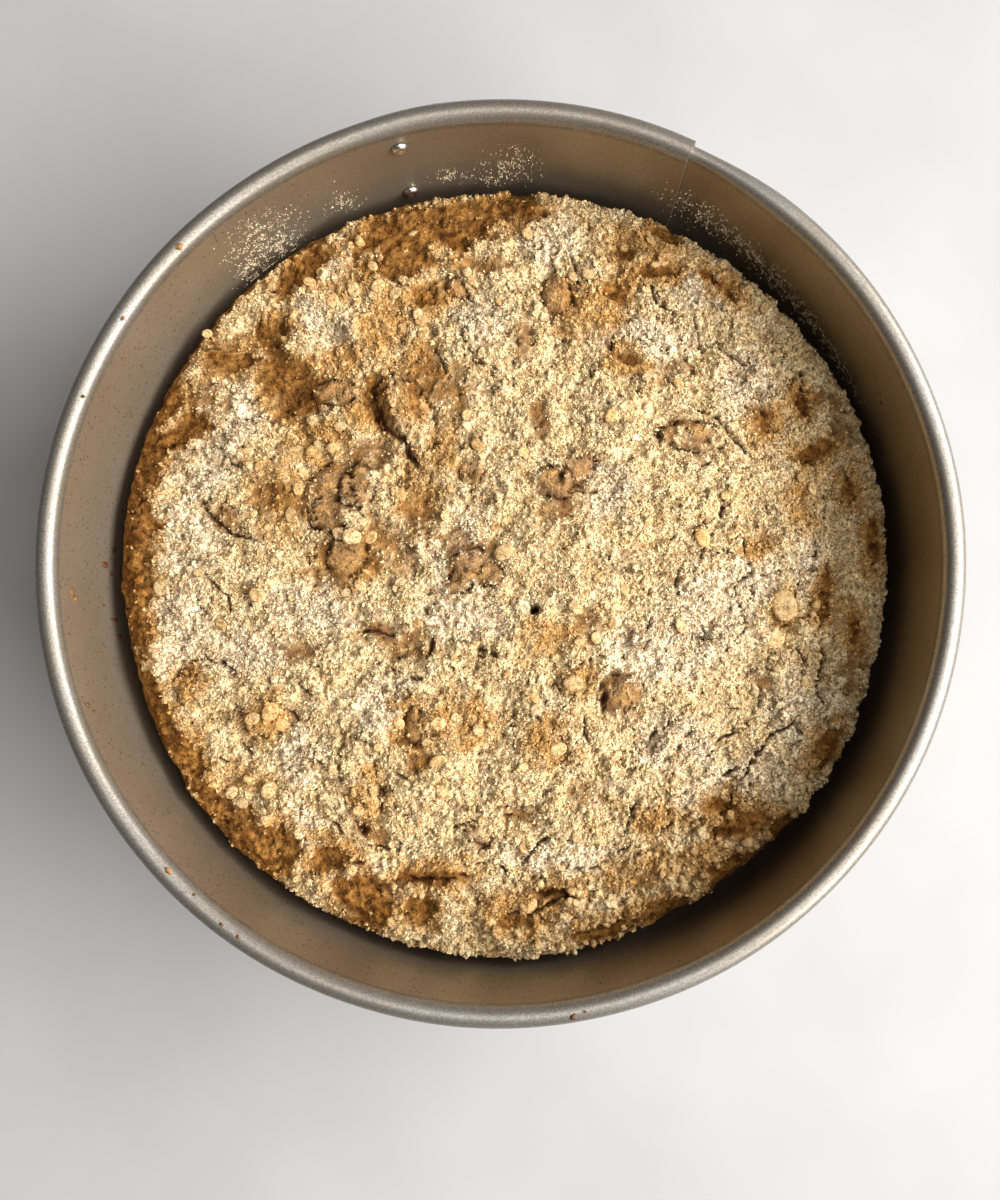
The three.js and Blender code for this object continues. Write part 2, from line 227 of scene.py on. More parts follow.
def baked_specks():
    """Small dark pits and burnt-on specks, thickest at the left and the front, and a patchy dark line just
    under the rim.
    """
    group, _, out = effect("baked_specks", [], [("Mask", "Float")])
    place = node(group, "TexCoord").outputs["Object"]
    cells = node(group, "TexVoronoi", {"Vector": place, "Scale": 1 / (2.1 * MM)})
    dots = spread(group, cells.outputs["Distance"], 0.1, 0.2, 1, 0)
    shares = node(group, "SeparateColor", {0: cells.outputs["Color"]}).outputs
    left_and_front = (-5.5, -5.0, 0)
    towards = node(group, "VectorMath", {0: place, 1: left_and_front}, operation="DOT_PRODUCT")
    crowded = sums(group, towards.outputs["Value"], sums(group, mottle(group, 14, 2), 0.9, "MULTIPLY"))
    dots = sums(group, dots, sums(group, shares[0], crowded, "LESS_THAN"), "MULTIPLY")
    high = node(group, "SeparateXYZ", {0: place}).outputs["Z"]
    under_rim = 66.7 * MM
    below = spread(group, high, under_rim - 1.2 * MM, under_rim - 0.1 * MM)
    above = spread(group, high, under_rim + 0.9 * MM, under_rim + 0.1 * MM)
    patchy = spread(group, mottle(group, 3, 3), 0.35, 0.6)
    # A patchy darker band just below the rim, where the wall meets the curl.
    dark_line_under_rim = sums(group, sums(group, below, above, "MULTIPLY"), patchy, "MULTIPLY")
    group.links.new(sums(group, dots, dark_line_under_rim, "MAXIMUM"), out["Mask"])
    return group


speck_effect = baked_specks()


def coating(name, colour, strength, specks=0.0):
    """Champagne non-stick coating on steel."""
    material, tree, shader = new_material(name)
    fleck = placed(tree, fleck_effect, {"Coat Colour": (*colour, 1), "Fleck Strength": strength})
    # The speck mask darkens the coating with the pits, the specks and the dark line under the rim.
    burnt = sums(tree, placed(tree, speck_effect)["Mask"], specks, "MULTIPLY")
    tree.links.new(mixed(tree, burnt, fleck["Colour"], (0.06, 0.035, 0.02)), shader["Base Color"])
    tree.links.new(fleck["Roughness"], shader["Roughness"])
    bump = node(tree, "Bump", {"Height": fleck["Height"], "Strength": 0.25, "Distance": 0.1 * MM})
    tree.links.new(bump.outputs[0], shader["Normal"])
    shader["Metallic"].default_value = 0.72
    return material


def bare_edge_steel():
    """Bright sheared steel, where the coated strip was cut."""
    material, tree, shader = new_material("bare_edge_steel")
    scratched = spread(tree, mottle(tree, 1.2, 3), 0.35, 0.65)
    worn = mixed(tree, scratched, (0.55, 0.52, 0.48), (0.8, 0.77, 0.72))
    tree.links.new(worn, shader["Base Color"])
    shader["Metallic"].default_value = 0.8
    shader["Roughness"].default_value = 0.35
    return material


COATED, CUT_EDGE, PAINTED_REFLECTION_RIM = range(3)
band_looks = [
    coating("band_coating", (0.36, 0.305, 0.232), 0.5, 0.8),
    bare_edge_steel(),
    # The rim's own copy of the coating, greyer and darker than the wall's: painted reflection, standing for
    # how the rolled rim mirrors the room.
    coating("rim_coating", (0.27, 0.257, 0.237), 0.8, 0.2),
]
band_points, band_faces, band_skin = band_mesh()
band = add_piece("band_sheet", band_points, band_faces, band_looks, "tin", ["tin_band"])
middles = np.empty(3 * len(band.data.polygons))
band.data.polygons.foreach_get("center", middles)
# Faces on the rolled rim take the painted-reflection copy of the coating; the cut ends take bare steel.
face_look = np.where(middles[2::3] > (RIM_CENTRE_Z - 0.6) * MM, PAINTED_REFLECTION_RIM, COATED)
face_look[band_skin:] = CUT_EDGE
band.data.polygons.foreach_set("material_index", face_look.astype(np.int32))

# ---- base ----
# A loose steel disc in the same coating, pressed so that its middle stands on the table and its edge sits
# up in the band's bead. It is held there by the band alone, once the clasp is shut.
BASE_SHEET = 0.8
BASE_PANEL_RADIUS = 104
BASE_LEDGE_RADIUS = 108
BASE_LEDGE_Z = 4.8
BASE_EDGE_RADIUS = 115.7
BASE_RIB_RADIUS = 60
BASE_AROUND = 180


def turned(profile, around):
    """A closed turning about the axis: the profile runs from the axis below to the axis above."""
    profile = np.array(profile, float)
    angles = np.linspace(0, 360, around, endpoint=False)
    rings = [ring_point(angles, r, z) for r, z in profile[1:-1]]
    points = np.concatenate([[(0, 0, profile[0][1])], [(0, 0, profile[-1][1])], *rings])
    faces = []
    for j in range(around):
        k = (j + 1) % around
        last = 2 + (len(rings) - 1) * around
        faces.append((0, 2 + k, 2 + j))
        faces.append((1, last + j, last + k))
        for i in range(len(rings) - 1):
            a, b = 2 + i * around, 2 + (i + 1) * around
            faces.append((a + j, a + k, b + k, b + j))
    return points, faces


def base_skin(lift):
    """The pressed disc's skin from the middle out, with rounded bends and one low stiffening ring."""
    return [
        (0, lift), (BASE_RIB_RADIUS - 2, lift), (BASE_RIB_RADIUS, 0.5 + lift), (BASE_RIB_RADIUS + 2, lift),
        (BASE_PANEL_RADIUS - 1.5, lift), (BASE_PANEL_RADIUS - 0.4, 0.4 + lift),
        (BASE_LEDGE_RADIUS - 0.9, BASE_LEDGE_Z - 0.5 + lift), (BASE_LEDGE_RADIUS + 0.2, BASE_LEDGE_Z + lift),
        (BASE_EDGE_RADIUS - 0.2, BASE_LEDGE_Z + lift),
    ]


base_edge = (BASE_EDGE_RADIUS, BASE_LEDGE_Z + BASE_SHEET / 2)
base_points, base_faces = turned([*base_skin(0), base_edge, *base_skin(BASE_SHEET)[::-1]], BASE_AROUND)
base_coating = coating("base_coating", (0.37, 0.32, 0.26), 0.5)
add_piece("base_plate", base_points, base_faces, [base_coating], "tin", ["tin_base"])

# ---- rivets ----
# Four plated steel rivets, two to a bracket. The left pair goes right through the band, so its turned heads,
# each with a small dimple from the press, shine inside the tin; the right pair is hidden under the overlap.
STEEL = (0.62, 0.61, 0.59)
RIVET_HEAD = 2.35
RIVET_SHANK = 1.3
RIVET_AROUND = 28


def plated_steel(name, size, colour=STEEL):
    """Satin plated steel with faint drawing marks."""
    material, tree, shader = new_material(name)
    marks = spread(tree, mottle(tree, size, 3, 0.6), 0.35, 0.65)
    dull = tuple(0.84 * c for c in colour)
    tree.links.new(mixed(tree, marks, dull, colour), shader["Base Color"])
    tree.links.new(spread(tree, marks, 0, 1, 0.36, 0.27), shader["Roughness"])
    bump = node(tree, "Bump", {"Height": marks, "Strength": 0.1, "Distance": 0.1 * MM})
    tree.links.new(bump.outputs[0], shader["Normal"])
    shader["Metallic"].default_value = 1.0
    return material


rivet_steel = plated_steel("rivet_steel", 0.8, (0.78, 0.77, 0.75))


def add_rivet(name, angle, seat, inside):
    """One rivet from its inner head, or its hidden inner end, to its outer head."""
    low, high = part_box(name)
    z = (low.z + high.z) / 2 / MM
    reach_in = INNER_RADIUS - 0.3 if inside else INNER_RADIUS + 1.25
    bulge = [(0, -0.55), (0.45, -0.6), (0.8, -0.95), (1.3, -1.12), (1.9, -0.85)]
    bulge += [(RIVET_HEAD, -0.25), (RIVET_HEAD, 0), (RIVET_SHANK, 0)]
    plain_end = [(0, 0), (RIVET_SHANK - 0.2, 0), (RIVET_SHANK, 0.2)]
    pressed_head = [(RIVET_SHANK, 0), (RIVET_HEAD, 0), (RIVET_HEAD, 0.3), (1.7, 0.72), (0.8, 0.85), (0, 0.85)]
    profile = [(r, reach_in + d) for r, d in (bulge if inside else plain_end)]
    profile += [(r, seat + d) for r, d in pressed_head]
    points, faces = turned(profile, RIVET_AROUND)
    turn = math.radians(angle)
    outward = np.array([math.cos(turn), math.sin(turn), 0])
    sideways = np.array([-math.sin(turn), math.cos(turn), 0])
    up = np.array([0, 0, 1])
    points = np.outer(points[:, 2], outward) + np.outer(points[:, 0], sideways) + np.outer(points[:, 1], up)
    add_piece(name + "_turned", points + z * up, faces, [rivet_steel], "tin", [name], bend=50)


for side, angle, seat, inside in (("left", 103, 116.6, True), ("right", 80, 117.85, False)):
    for level in ("upper", "lower"):
        add_rivet(f"rivet_{side}_{level}", angle, seat, inside)

# ---- clasp ----
# Pressed steel straps: a bracket riveted at each end of the strip, a lever on two short pins, and a link that
# hangs on the lever and hooks over the other bracket's lug. Swinging the lever in pulls the band shut.
clasp_bodies = {
    "pivot_bracket": "tin",
    "catch_bracket": "tin",
    "pivot_pin_upper": "tin",
    "pivot_pin_lower": "tin",
    "clasp_lever": "lever",
    "link_pin": "lever",
    "clasp_link": "link",
}
BROKEN_EDGE = 0.22
strap_steel = plated_steel("strap_steel", 1.6)


def softened(name, body):
    """A pressed part with its edges broken, as stamping and tumbling leave them."""
    shape = bmesh.new()
    shape.from_mesh(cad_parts[name].data)
    bmesh.ops.remove_doubles(shape, verts=shape.verts, dist=0.00002)
    bmesh.ops.dissolve_limit(shape, angle_limit=math.radians(4), verts=shape.verts, edges=shape.edges)
    sharp = [e for e in shape.edges if e.is_manifold and e.calc_face_angle(0) > math.radians(38)]
    bmesh.ops.bevel(shape, geom=sharp, offset=BROKEN_EDGE * MM, segments=2, profile=0.5,
                    affect="EDGES", clamp_overlap=True)
    bmesh.ops.triangulate(shape, faces=shape.faces)
    points = np.array([v.co for v in shape.verts]) / MM
    faces = [[v.index for v in f.verts] for f in shape.faces]
    shape.free()
    add_piece(name + "_pressed", points, faces, [strap_steel], body, [name], bend=42)


for name, body in clasp_bodies.items():
    softened(name, body)

# ---- cake ----
# A baked crumb cake, domed and a little shrunken from the tin, which shows bare brown crust where the topping
# is thin. The topping baked into lumps and sheets that cracked as the middle rose, and it was tested once.
CAKE_RADIUS = 112
CAKE_EDGE_Z = 30  # where the side turns into the shoulder
CAKE_SHOULDER = 9
CAKE_DOME = 9
CAKE_TUCK = 1.6  # how much the side leans in at its foot
CAKE_FOOT_Z = 1.1
CAKE_LEDGE_Z = 5.9
CAKE_GRID = 276
FINE_CRACK_COUNT = 60

# Bare crust: middle x and y, half length, half width, and the turn of the length.
BARE_PATCHES = [
    (-105, 8, 20, 6, 92), (-101, 30, 9, 6, 70), (-91, 38, 9, 4, 25), (-96, 47, 7, 3, 60),
    (-105, -8, 12, 5, 96), (-103, -19, 8, 3, 104), (-97, -41, 9, 3, 114), (-89, -55, 8, 4, 122),
    (-83, -66, 6, 3, 130), (-72, -77, 11, 6, 140), (-63, -81, 7, 7, 0), (-47, -83, 6, 3, 0),
    (-37, -95, 9, 7, 150), (-19, -88, 11, 2, 4), (-22, -97, 4, 4, 0), (-60, 53, 9, 6, -15),
    (-57, 46, 7, 5, 0), (-76, 59, 9, 2.2, -8), (-65, 66, 5, 5, 0), (-57, 86, 10, 4, 42),
    (-28, 96, 13, 8, 14), (-12, 98, 10, 7, 0), (3, 104, 11, 5, 0), (-30, 87, 11, 4, 0), (-20, 76, 4, 3, 0),
    (-33, 44, 8, 3.5, 110), (-23, 47, 5, 1.8, 95), (49, 95, 5, 1.8, -32), (37, 89, 4, 2.4, 0),
    (45, 83, 7, 1.5, 0), (34, 77, 3, 3, 80), (63, 80, 6, 1.3, -45), (36, 57, 4, 1.3, -15),
    (75, 39, 2.6, 3.6, 0), (86, 44, 1.6, 4, 20), (90, 31, 5.5, 2.2, 20), (99, 20, 2, 4, 10),
    (106, 5, 2, 7, 0), (91, -11, 7, 1.4, 80), (99, -19, 6, 1.5, 92), (92, -52, 6, 3, 60),
    (79, -74, 5, 2.4, 42), (68, -73, 8, 3, 10), (61, -68, 4, 2.4, 0), (66, -86, 10, 4, 38),
    (47, -97, 9, 3, 22), (30, -103, 9, 2.8, 12), (4, -100, 5, 1.6, 0), (15, -92, 6, 1.5, 0),
    (-23, -47, 7, 2.2, 95),
]

# Dark crust that shows through a thin dusting, given the same way.
THIN_PATCHES = [
    (-78, 13, 8, 4, -35), (-7, 25, 4, 4, 0), (-4, 2, 5, 4, 0), (-12, 5, 6, 4, 60), (55, 35, 10, 4.5, -8),
    (-28, -22, 12, 5, -20), (-56, -25, 6, 3.6, -15), (-22, -56, 3.6, 4, 0), (17, 15, 6, 4, 0),
    (17, 77, 6, 7, 0), (-12, 79, 5, 3.5, 0), (47, 52, 4, 3, 0), (25, -17, 5, 4, 0), (-30, 5, 10, 5, -50),
    (23, -66, 6, 4, 0), (12, 40, 3, 8, 10), (-12, 50, 5, 8, 20), (-5, 86, 12, 3, 0), (100, -30, 5, 12, 0),
    (97, 40, 5, 12, 30), (-33, -76, 6, 4, 0), (5, -71, 6, 3, 0), (34, -33, 4, 3, 0), (8, 62, 3, 6, 0),
    (-18, 62, 3, 6, 20), (75, -34, 4, 3, -30), (-42, 0, 11, 8, 20), (-80, 60, 9, 7, 30),
    (-22, 12, 6, 6, 60), (-62, 18, 9, 6, 0), (-36, 31, 8, 5, 0), (-18, 52, 5, 9, 0), (-84, 50, 6, 5, 0),
    (20, 21, 9, 6, 20),
]

# Toasted topping, and places thick with flour.
TOASTED_PATCHES = [
    (-31, 70, 18, 9, 85), (-52, 33, 14, 10, 0), (-44, 56, 12, 8, 30), (-62, 14, 8, 9, 0),
    (-45, -80, 12, 5, -30), (-65, -44, 9, 8, 0), (-88, -34, 8, 6, 0), (40, -86, 15, 6, 10),
    (44, -72, 14, 5, 5), (58, -82, 12, 6, 30), (-10, -45, 12, 9, 0), (-36, -66, 6, 10, 0),
    (22, -34, 8, 5, 0), (15, -22, 9, 6, 0), (68, 77, 8, 6, -40), (25, 72, 14, 10, 0), (40, 92, 14, 7, -15),
    (85, 15, 6, 8, 0), (72, 4, 6, 5, 0), (-5, 100, 22, 8, 0), (8, -96, 20, 7, 0), (80, -14, 5, 6, 0),
    (-72, -62, 8, 6, 0), (15, -50, 10, 8, 0), (-15, 30, 5, 12, 0), (-42, 0, 13, 10, 0), (-80, 59, 9, 8, 20),
    (-41, 80, 11, 7, 0), (-22, 20, 8, 12, 0), (-60, 20, 12, 10, 0), (-22, 56, 8, 12, 0),
    (-36, 44, 9, 10, 0),
]
FLOURY_PATCHES = [
    (-80, 34, 24, 9, 62), (-88, 8, 10, 12, 0), (-90, -18, 10, 14, 0), (-50, -12, 14, 9, 0),
    (-47, 90, 6, 6, 0), (-57, 71, 9, 6, 0), (-45, 63, 6, 7, 0), (15, 93, 9, 8, 0), (-4, 68, 8, 8, 0),
    (45, -26, 18, 10, 0), (62, -62, 16, 6, 20), (30, 20, 10, 8, 0), (-70, -25, 12, 8, 0),
    (-55, -55, 8, 8, 0), (-55, -75, 7, 7, 0), (50, -50, 12, 8, 0), (70, 50, 9, 10, 0), (58, 76, 8, 5, 0),
    (-30, -40, 12, 8, 0), (86, -2, 5, 8, 0), (95, -45, 5, 14, 20), (70, -80, 7, 3, 30),
    (-10, -15, 12, 7, 0), (20, -82, 20, 4, 0), (-40, -86, 8, 3, 0), (-10, 0, 18, 8, 80),
    (-25, -90, 6, 5, 0), (82, -42, 8, 11, 10), (60, -14, 14, 14, 0), (44, 62, 12, 8, 0), (70, -5, 9, 8, 0),
    (74, -58, 6, 8, 40), (25, -97, 8, 4, 0),
]

# Smooth lumps of batter that rose through the topping: middle x and y, half length, half width, turn,
# height, and how brown they are.
LUMPS = [
    (-47, 13, 5.8, 4.6, 0, 1.5, 0.85), (-47, 22, 6, 5, 30, 1.4, 0.85), (-39, 21, 6, 5, 80, 1.7, 0.85),
    (-42, 2, 6.5, 5, 60, 1.2, 0.9), (-26, 41, 12, 7, 118, 2.2, 0.2), (-46, 48, 6, 3.6, -5, 1.4, 0.95),
    (16, 22, 5.4, 4, 0, 1.9, 0.95), (23, 25, 5.4, 3, 42, 1.5, 0.85), (-9, -3, 7, 4, 60, 1.6, 0.85),
    (-2, -4, 4, 3, 0, 1.1, 0.9), (34, -37, 6, 4.6, 0, 1.9, 0.9), (-7, 25, 3.4, 3.4, 0, 0.8, 0.4),
    (-23, -46, 5, 2.6, 90, 1.0, 0.7), (55, 35, 9, 4.2, -8, 1.2, 0.3), (17, 77, 6, 4, 88, 1.4, 0.6),
    (-11, 79, 3.4, 3, 0, 1.0, 0.6), (-78, 14, 6, 3, -30, 0.9, 0.2), (80, -12.5, 5.2, 5, 0, 0.5, 0.05),
    (77, -22, 3.8, 3.6, 0, 0.5, 0.1), (52, 54.5, 3.6, 2.2, -20, 0.8, 0.7), (57, 6, 4.2, 3.6, 0, 1.1, 0.05),
    (17, -95.5, 6, 4, 0, 1.3, 0), (-6, -77, 4, 3, 0, 1.1, 0.5), (-65, -44, 6, 5, 0, 1.2, 0),
    (21, -34, 4, 3.4, 0, 0.8, 0.1), (-84, -34, 8, 6, 20, 0.9, 0), (60, -10, 12, 9, 60, 1.1, 0),
    (8, -56, 12, 9, 60, 1.0, 0), (0, 64, 9, 8, 0, 0.9, 0), (-70, 34, 8, 7, 0, 1.0, 0),
    (-38, -62, 5, 12, 10, 1.2, 0), (-18, -30, 14, 6, 20, 0.9, 0), (42, 62, 9, 7, 0, 1.0, 0),
]

# Cracks: start x and y, heading, length, how far they bend, and half width.
CRACKS = [
    (-35, 48, -74, 12, 10, 1.2), (-31, 38, -52, 15, 8, 1.5), (-41.5, 22.5, -72, 8, 0, 0.8),
    (-84, 17, -50, 20, 40, 0.8), (-82, -3, -66, 17, 0, 0.7), (-85, -10, -80, 6, 0, 0.5),
    (-84, -25.5, -22, 12, -14, 0.9), (-60, -40, -45, 9, 0, 0.6), (-72, -51, -45, 5, 0, 0.6),
    (-43, -48, -15, 10, -15, 0.8), (-28, -58.5, -32, 5, 0, 0.7), (-50, -50, -98, 9, 0, 0.6),
    (-48, -71, -40, 11, 0, 0.8), (-38, -78.5, -16, 10, 10, 0.6), (-39, -19.5, -8, 8, 0, 0.9),
    (-33, -19, -35, 6, 60, 0.8), (-30, -29.5, -20, 4, 0, 0.7), (-24.5, -32, -15, 4.5, 0, 1.1),
    (-17.5, -21.5, -105, 6, 0, 1.0), (-14, -6, 52, 5, 0, 0.8), (-6, -24, -34, 10, 62, 0.9),
    (-21, -11, -62, 5, 0, 0.6), (-12, -74, 20, 7, 0, 0.6), (-6, -77, -30, 4, 0, 0.9),
    (-41, -84, 0, 4, 0, 1.1), (61, 40.5, -48, 14, 0, 1.0), (65, 19, -108, 26, -22, 0.6),
    (77, -3, -118, 33, -12, 0.6), (69, 27, -95, 7, 0, 0.5), (60, 28, -140, 4, 0, 0.6),
    (45, 36, -80, 5, 0, 0.9), (44, 79, -62, 12, 20, 1.0), (56, 69, -78, 10, 0, 0.9),
    (62, 63, -56, 12, 34, 0.9), (85, 55, -72, 11, 0, 0.9), (92, 22, -92, 12, 0, 0.7),
    (13, 19, -25, 8, 30, 0.8), (20, 18.5, 10, 8, -20, 0.9), (20, 91, -68, 12, -20, 0.7),
    (21, 80, -86, 10, 0, 0.7), (50, -3, -90, 8, 0, 0.5), (43, -16, -112, 5, 0, 0.5),
    (24, -42.5, -80, 8, 0, 0.6), (39, -51.5, 38, 13, 0, 0.7), (46, -56, 50, 12, -8, 0.85),
    (53, -53, 35, 6, 0, 0.6), (60, -51, 36, 10, 0, 0.9), (61.5, -60, 30, 6, 0, 1.0),
    (67, -61, 46, 25, 0, 1.1), (36, -58, 10, 4, 0, 0.8), (39, -66.5, -112, 10, 0, 0.9),
    (45, -74.5, 30, 5, 0, 0.6), (51, -74, 25, 6, 0, 0.6), (7, -84, 45, 18, -58, 0.8),
    (19, -85, 8, 12, 0, 0.8), (33, -80.5, 8, 9, 0, 0.5), (9, -98, 50, 16, -80, 1.0),
    (90, -22, -88, 19, 0, 0.9), (73, -36, -95, 5, 0, 0.8), (30, -36, -95, 6, 0, 1.3),
    (-18, 62, -68, 10, 0, 0.6), (-10, 80, -62, 6, 0, 0.7), (30, 2, -62, 5, 0, 0.6), (68, 8, -80, 7, 0, 0.6),
    (1, -84, -60, 3, 0, 1.3), (1, -70, -20, 6, 20, 0.6), (-26, -88.5, 4, 18, 0, 0.9),
    (75, 16, -70, 5, 0, 0.6), (83, -24, -60, 8, -40, 0.8), (-52, 16, -70, 6, 0, 1.0),
    (2, -98, 0, 8, 0, 0.9), (60, -71, -85, 6, 0, 0.8),
]
TESTER_HOLE = (10.6, -13.8, 1.3)


def noise(x, y, size, seed):
    """Smooth noise, about -1 to 1, with features of about that size."""
    angle = np.random.default_rng(seed).uniform(0, 2 * np.pi, (256, 256))
    lean_x, lean_y = np.cos(angle), np.sin(angle)
    u, v = x / size + 97.3, y / size + 51.7
    i, j = np.floor(u).astype(int), np.floor(v).astype(int)
    a, b = u - i, v - j
    fade_a = a ** 3 * (a * (a * 6 - 15) + 10)
    fade_b = b ** 3 * (b * (b * 6 - 15) + 10)
    total = 0
    for di in (0, 1):
        for dj in (0, 1):
            at = (i + di) % 256, (j + dj) % 256
            weight = (fade_a if di else 1 - fade_a) * (fade_b if dj else 1 - fade_b)
            total = total + weight * (lean_x[at] * (a - di) + lean_y[at] * (b - dj))
    return total * 1.6


def billow(x, y, size, seed):
    """Puffy bumps of about that size, 0 in the sharp creases between them."""
    drift_x, drift_y = noise(x, y, size * 0.7, seed + 500), noise(x, y, size * 0.7, seed + 600)
    return np.abs(noise(x + 0.35 * size * drift_x, y + 0.35 * size * drift_y, size, seed))


def oval(x, y, at_x, at_y, half_length, half_width, turn):
    """Distance from the middle of an oval, 1 at its edge."""
    c, s = math.cos(math.radians(turn)), math.sin(math.radians(turn))
    along = (x - at_x) * c + (y - at_y) * s
    across = (y - at_y) * c - (x - at_x) * s
    return np.hypot(along / half_length, across / half_width)


def bareness(x, y):
    """1 where the crust is bare, 0 where the topping covers it."""
    ragged = 0.42 * noise(x, y, 6, 11) + 0.34 * noise(x, y, 2.2, 12) + 0.2 * noise(x, y, 1.0, 13)
    bare = np.zeros_like(x)
    for patch in BARE_PATCHES:
        bare = np.maximum(bare, ease((1.36 - oval(x, y, *patch) + ragged) / 0.55))
    angle = np.arctan2(y, x)
    left = ease(1.35 - np.abs(np.degrees(angle) % 360 - 158) / 82)
    inward = outline(angle) - np.hypot(x, y) - 2.2 * ragged
    bare = np.maximum(bare, ease((1.2 + 3.2 * left - inward) / 1.5))
    for patch in THIN_PATCHES:
        bare = np.maximum(bare, 0.62 * ease((1.25 - oval(x, y, *patch) + ragged) / 0.8))
    for at_x, at_y, half_length, half_width, turn, _, brown in LUMPS:
        inside = ease((1.2 - oval(x, y, at_x, at_y, half_length, half_width, turn) + 0.7 * ragged) / 0.5)
        bare = np.maximum(bare, brown * inside)
    return bare


def lump_skin(x, y):
    """Where the smooth tops of the risen lumps are, and the broken crevice round each."""
    skin, ringed = np.zeros_like(x), np.zeros_like(x)
    broken = ease(0.55 + 1.1 * noise(x, y, 3.5, 35))
    for at_x, at_y, half_length, half_width, turn, height, brown in LUMPS:
        off = oval(x, y, at_x, at_y, half_length, half_width, turn) + 0.16 * noise(x, y, 2.6, 36)
        skin = np.maximum(skin, ease((1.05 - off) / 0.3) * min(1, 1.2 * brown))
        gap = (1 - np.abs(off - 1.06) * min(half_length, half_width) / 0.75) * broken
        ringed = np.maximum(ringed, gap * min(1, 0.3 + 0.5 * height))
    return skin, ringed


def crack_path(start_x, start_y, heading, length, bend, half_width, seed):
    """The middle line of a crack that wanders, and its half width, which tapers at both ends."""
    rng = np.random.default_rng(seed)
    steps = max(4, int(length / 0.9))
    t = np.linspace(0, 1, steps + 1)
    wander = np.cumsum(rng.uniform(-26, 26, steps + 1))
    wander -= wander.mean() + np.linspace(-1, 1, steps + 1) * (wander[-1] - wander[0]) / 2
    heading = np.radians(heading + bend * (t - 0.1) + 0.8 * wander)
    stride = length / steps
    x = start_x + np.concatenate([[0], np.cumsum(np.cos(heading[:-1]))]) * stride
    y = start_y + np.concatenate([[0], np.cumsum(np.sin(heading[:-1]))]) * stride
    taper = np.sqrt(np.clip(np.sin(np.pi * (0.06 + 0.88 * t)), 0, 1))
    width = half_width * taper * rng.uniform(0.3, 1.3, steps + 1)
    return x, y, width


def fine_cracks():
    """Short cracks that follow the ring of the edge, most of them at the right and the front."""
    rng = np.random.default_rng(21)
    found = []
    while len(found) < FINE_CRACK_COUNT:
        angle = rng.uniform(-180, 180)
        reach = CAKE_RADIUS * math.sqrt(rng.uniform(0.08, 0.93))
        front_right = math.cos(math.radians(angle + 50))
        if rng.uniform() > 0.28 + 0.5 * front_right + 0.4 * (reach > 70) * front_right:
            continue
        x, y, _ = ring_point(angle, reach, 0)
        heading = angle + 90 + rng.normal(0, 24) + 180 * rng.integers(0, 2)
        found.append((x, y, heading, rng.uniform(3, 9), rng.normal(0, 18), rng.uniform(0.28, 0.5)))
    return found


crack_paths = [crack_path(*crack, seed=300 + i) for i, crack in enumerate([*CRACKS, *fine_cracks()])]


def cracking(x, y):
    """1 on the middle line of a crack, falling to 0 at its lips."""
    field = np.zeros_like(x)
    for path_x, path_y, width in crack_paths:
        reach = width.max()
        near = (x > path_x.min() - reach) & (x < path_x.max() + reach)
        near &= (y > path_y.min() - reach) & (y < path_y.max() + reach)
        near = np.flatnonzero(near)
        px, py = x[near], y[near]
        for i in range(len(path_x) - 1):
            step_x, step_y = path_x[i + 1] - path_x[i], path_y[i + 1] - path_y[i]
            t = ((px - path_x[i]) * step_x + (py - path_y[i]) * step_y) / (step_x ** 2 + step_y ** 2)
            t = np.clip(t, 0, 1)
            away = np.hypot(px - path_x[i] - t * step_x, py - path_y[i] - t * step_y)
            half = width[i] + (width[i + 1] - width[i]) * t
            field[near] = np.maximum(field[near], 1 - away / half)
    return field


def outline(angle):
    """The cake's uneven radius; the angle is in radians."""
    swell = 0.5 * np.sin(3 * angle + 0.7) + 0.35 * np.sin(7 * angle - 0.5)
    ragged = 0.55 * noise(np.cos(angle) * CAKE_RADIUS, np.sin(angle) * CAKE_RADIUS, 5, 31)
    return CAKE_RADIUS - 0.5 + swell + ragged


def coarseness(x, y):
    """Where the topping baked into big crumbs: along the front, the right and the far left."""
    reach = np.hypot(x, y) / CAKE_RADIUS
    angle = np.degrees(np.arctan2(y, x))
    front_right = ease(1 - np.abs(angle + 55) / 75)
    patchy = 0.5 + 0.8 * noise(x, y, 11, 41)
    edge = ease((reach - 0.62) / 0.3) * (0.3 + 0.7 * front_right)
    return np.clip(edge * (0.5 + patchy) + 0.5 * ease((patchy - 0.75) / 0.4), 0, 1)


def dome(x, y):
    """The cake's top before any crumb: shoulder, dome, swells and risen lumps."""
    angle = np.arctan2(y, x)
    reach = np.minimum(np.hypot(x, y) / outline(angle), 1)
    inward = CAKE_RADIUS * (1 - reach)
    turn = np.clip(inward / CAKE_SHOULDER, 0, 1)
    shoulder = CAKE_SHOULDER * (1 - (1 - turn) ** 2.4) ** (1 / 2.4)
    high = CAKE_EDGE_Z + shoulder + CAKE_DOME * (1 - reach ** 2)
    slow = np.sin(x / 17 + 0.6) * np.cos(y / 21 - 0.4)
    quick = np.sin(x / 8.5 - y / 13) * np.cos(y / 9.5 + x / 23)
    swell = 0.6 * slow + 0.45 * quick + 1.3 * noise(x, y, 15, 32) + 1.3 * noise(x, y, 7, 33)
    for at_x, at_y, half_length, half_width, lean, height, _ in LUMPS:
        off = oval(x, y, at_x, at_y, half_length, half_width, lean) + 0.12 * noise(x, y, 3, 34)
        swell = swell + 1.9 * height * np.clip(1.1 - off, 0, 0.5) ** 0.6
    return high + ease(turn) * swell


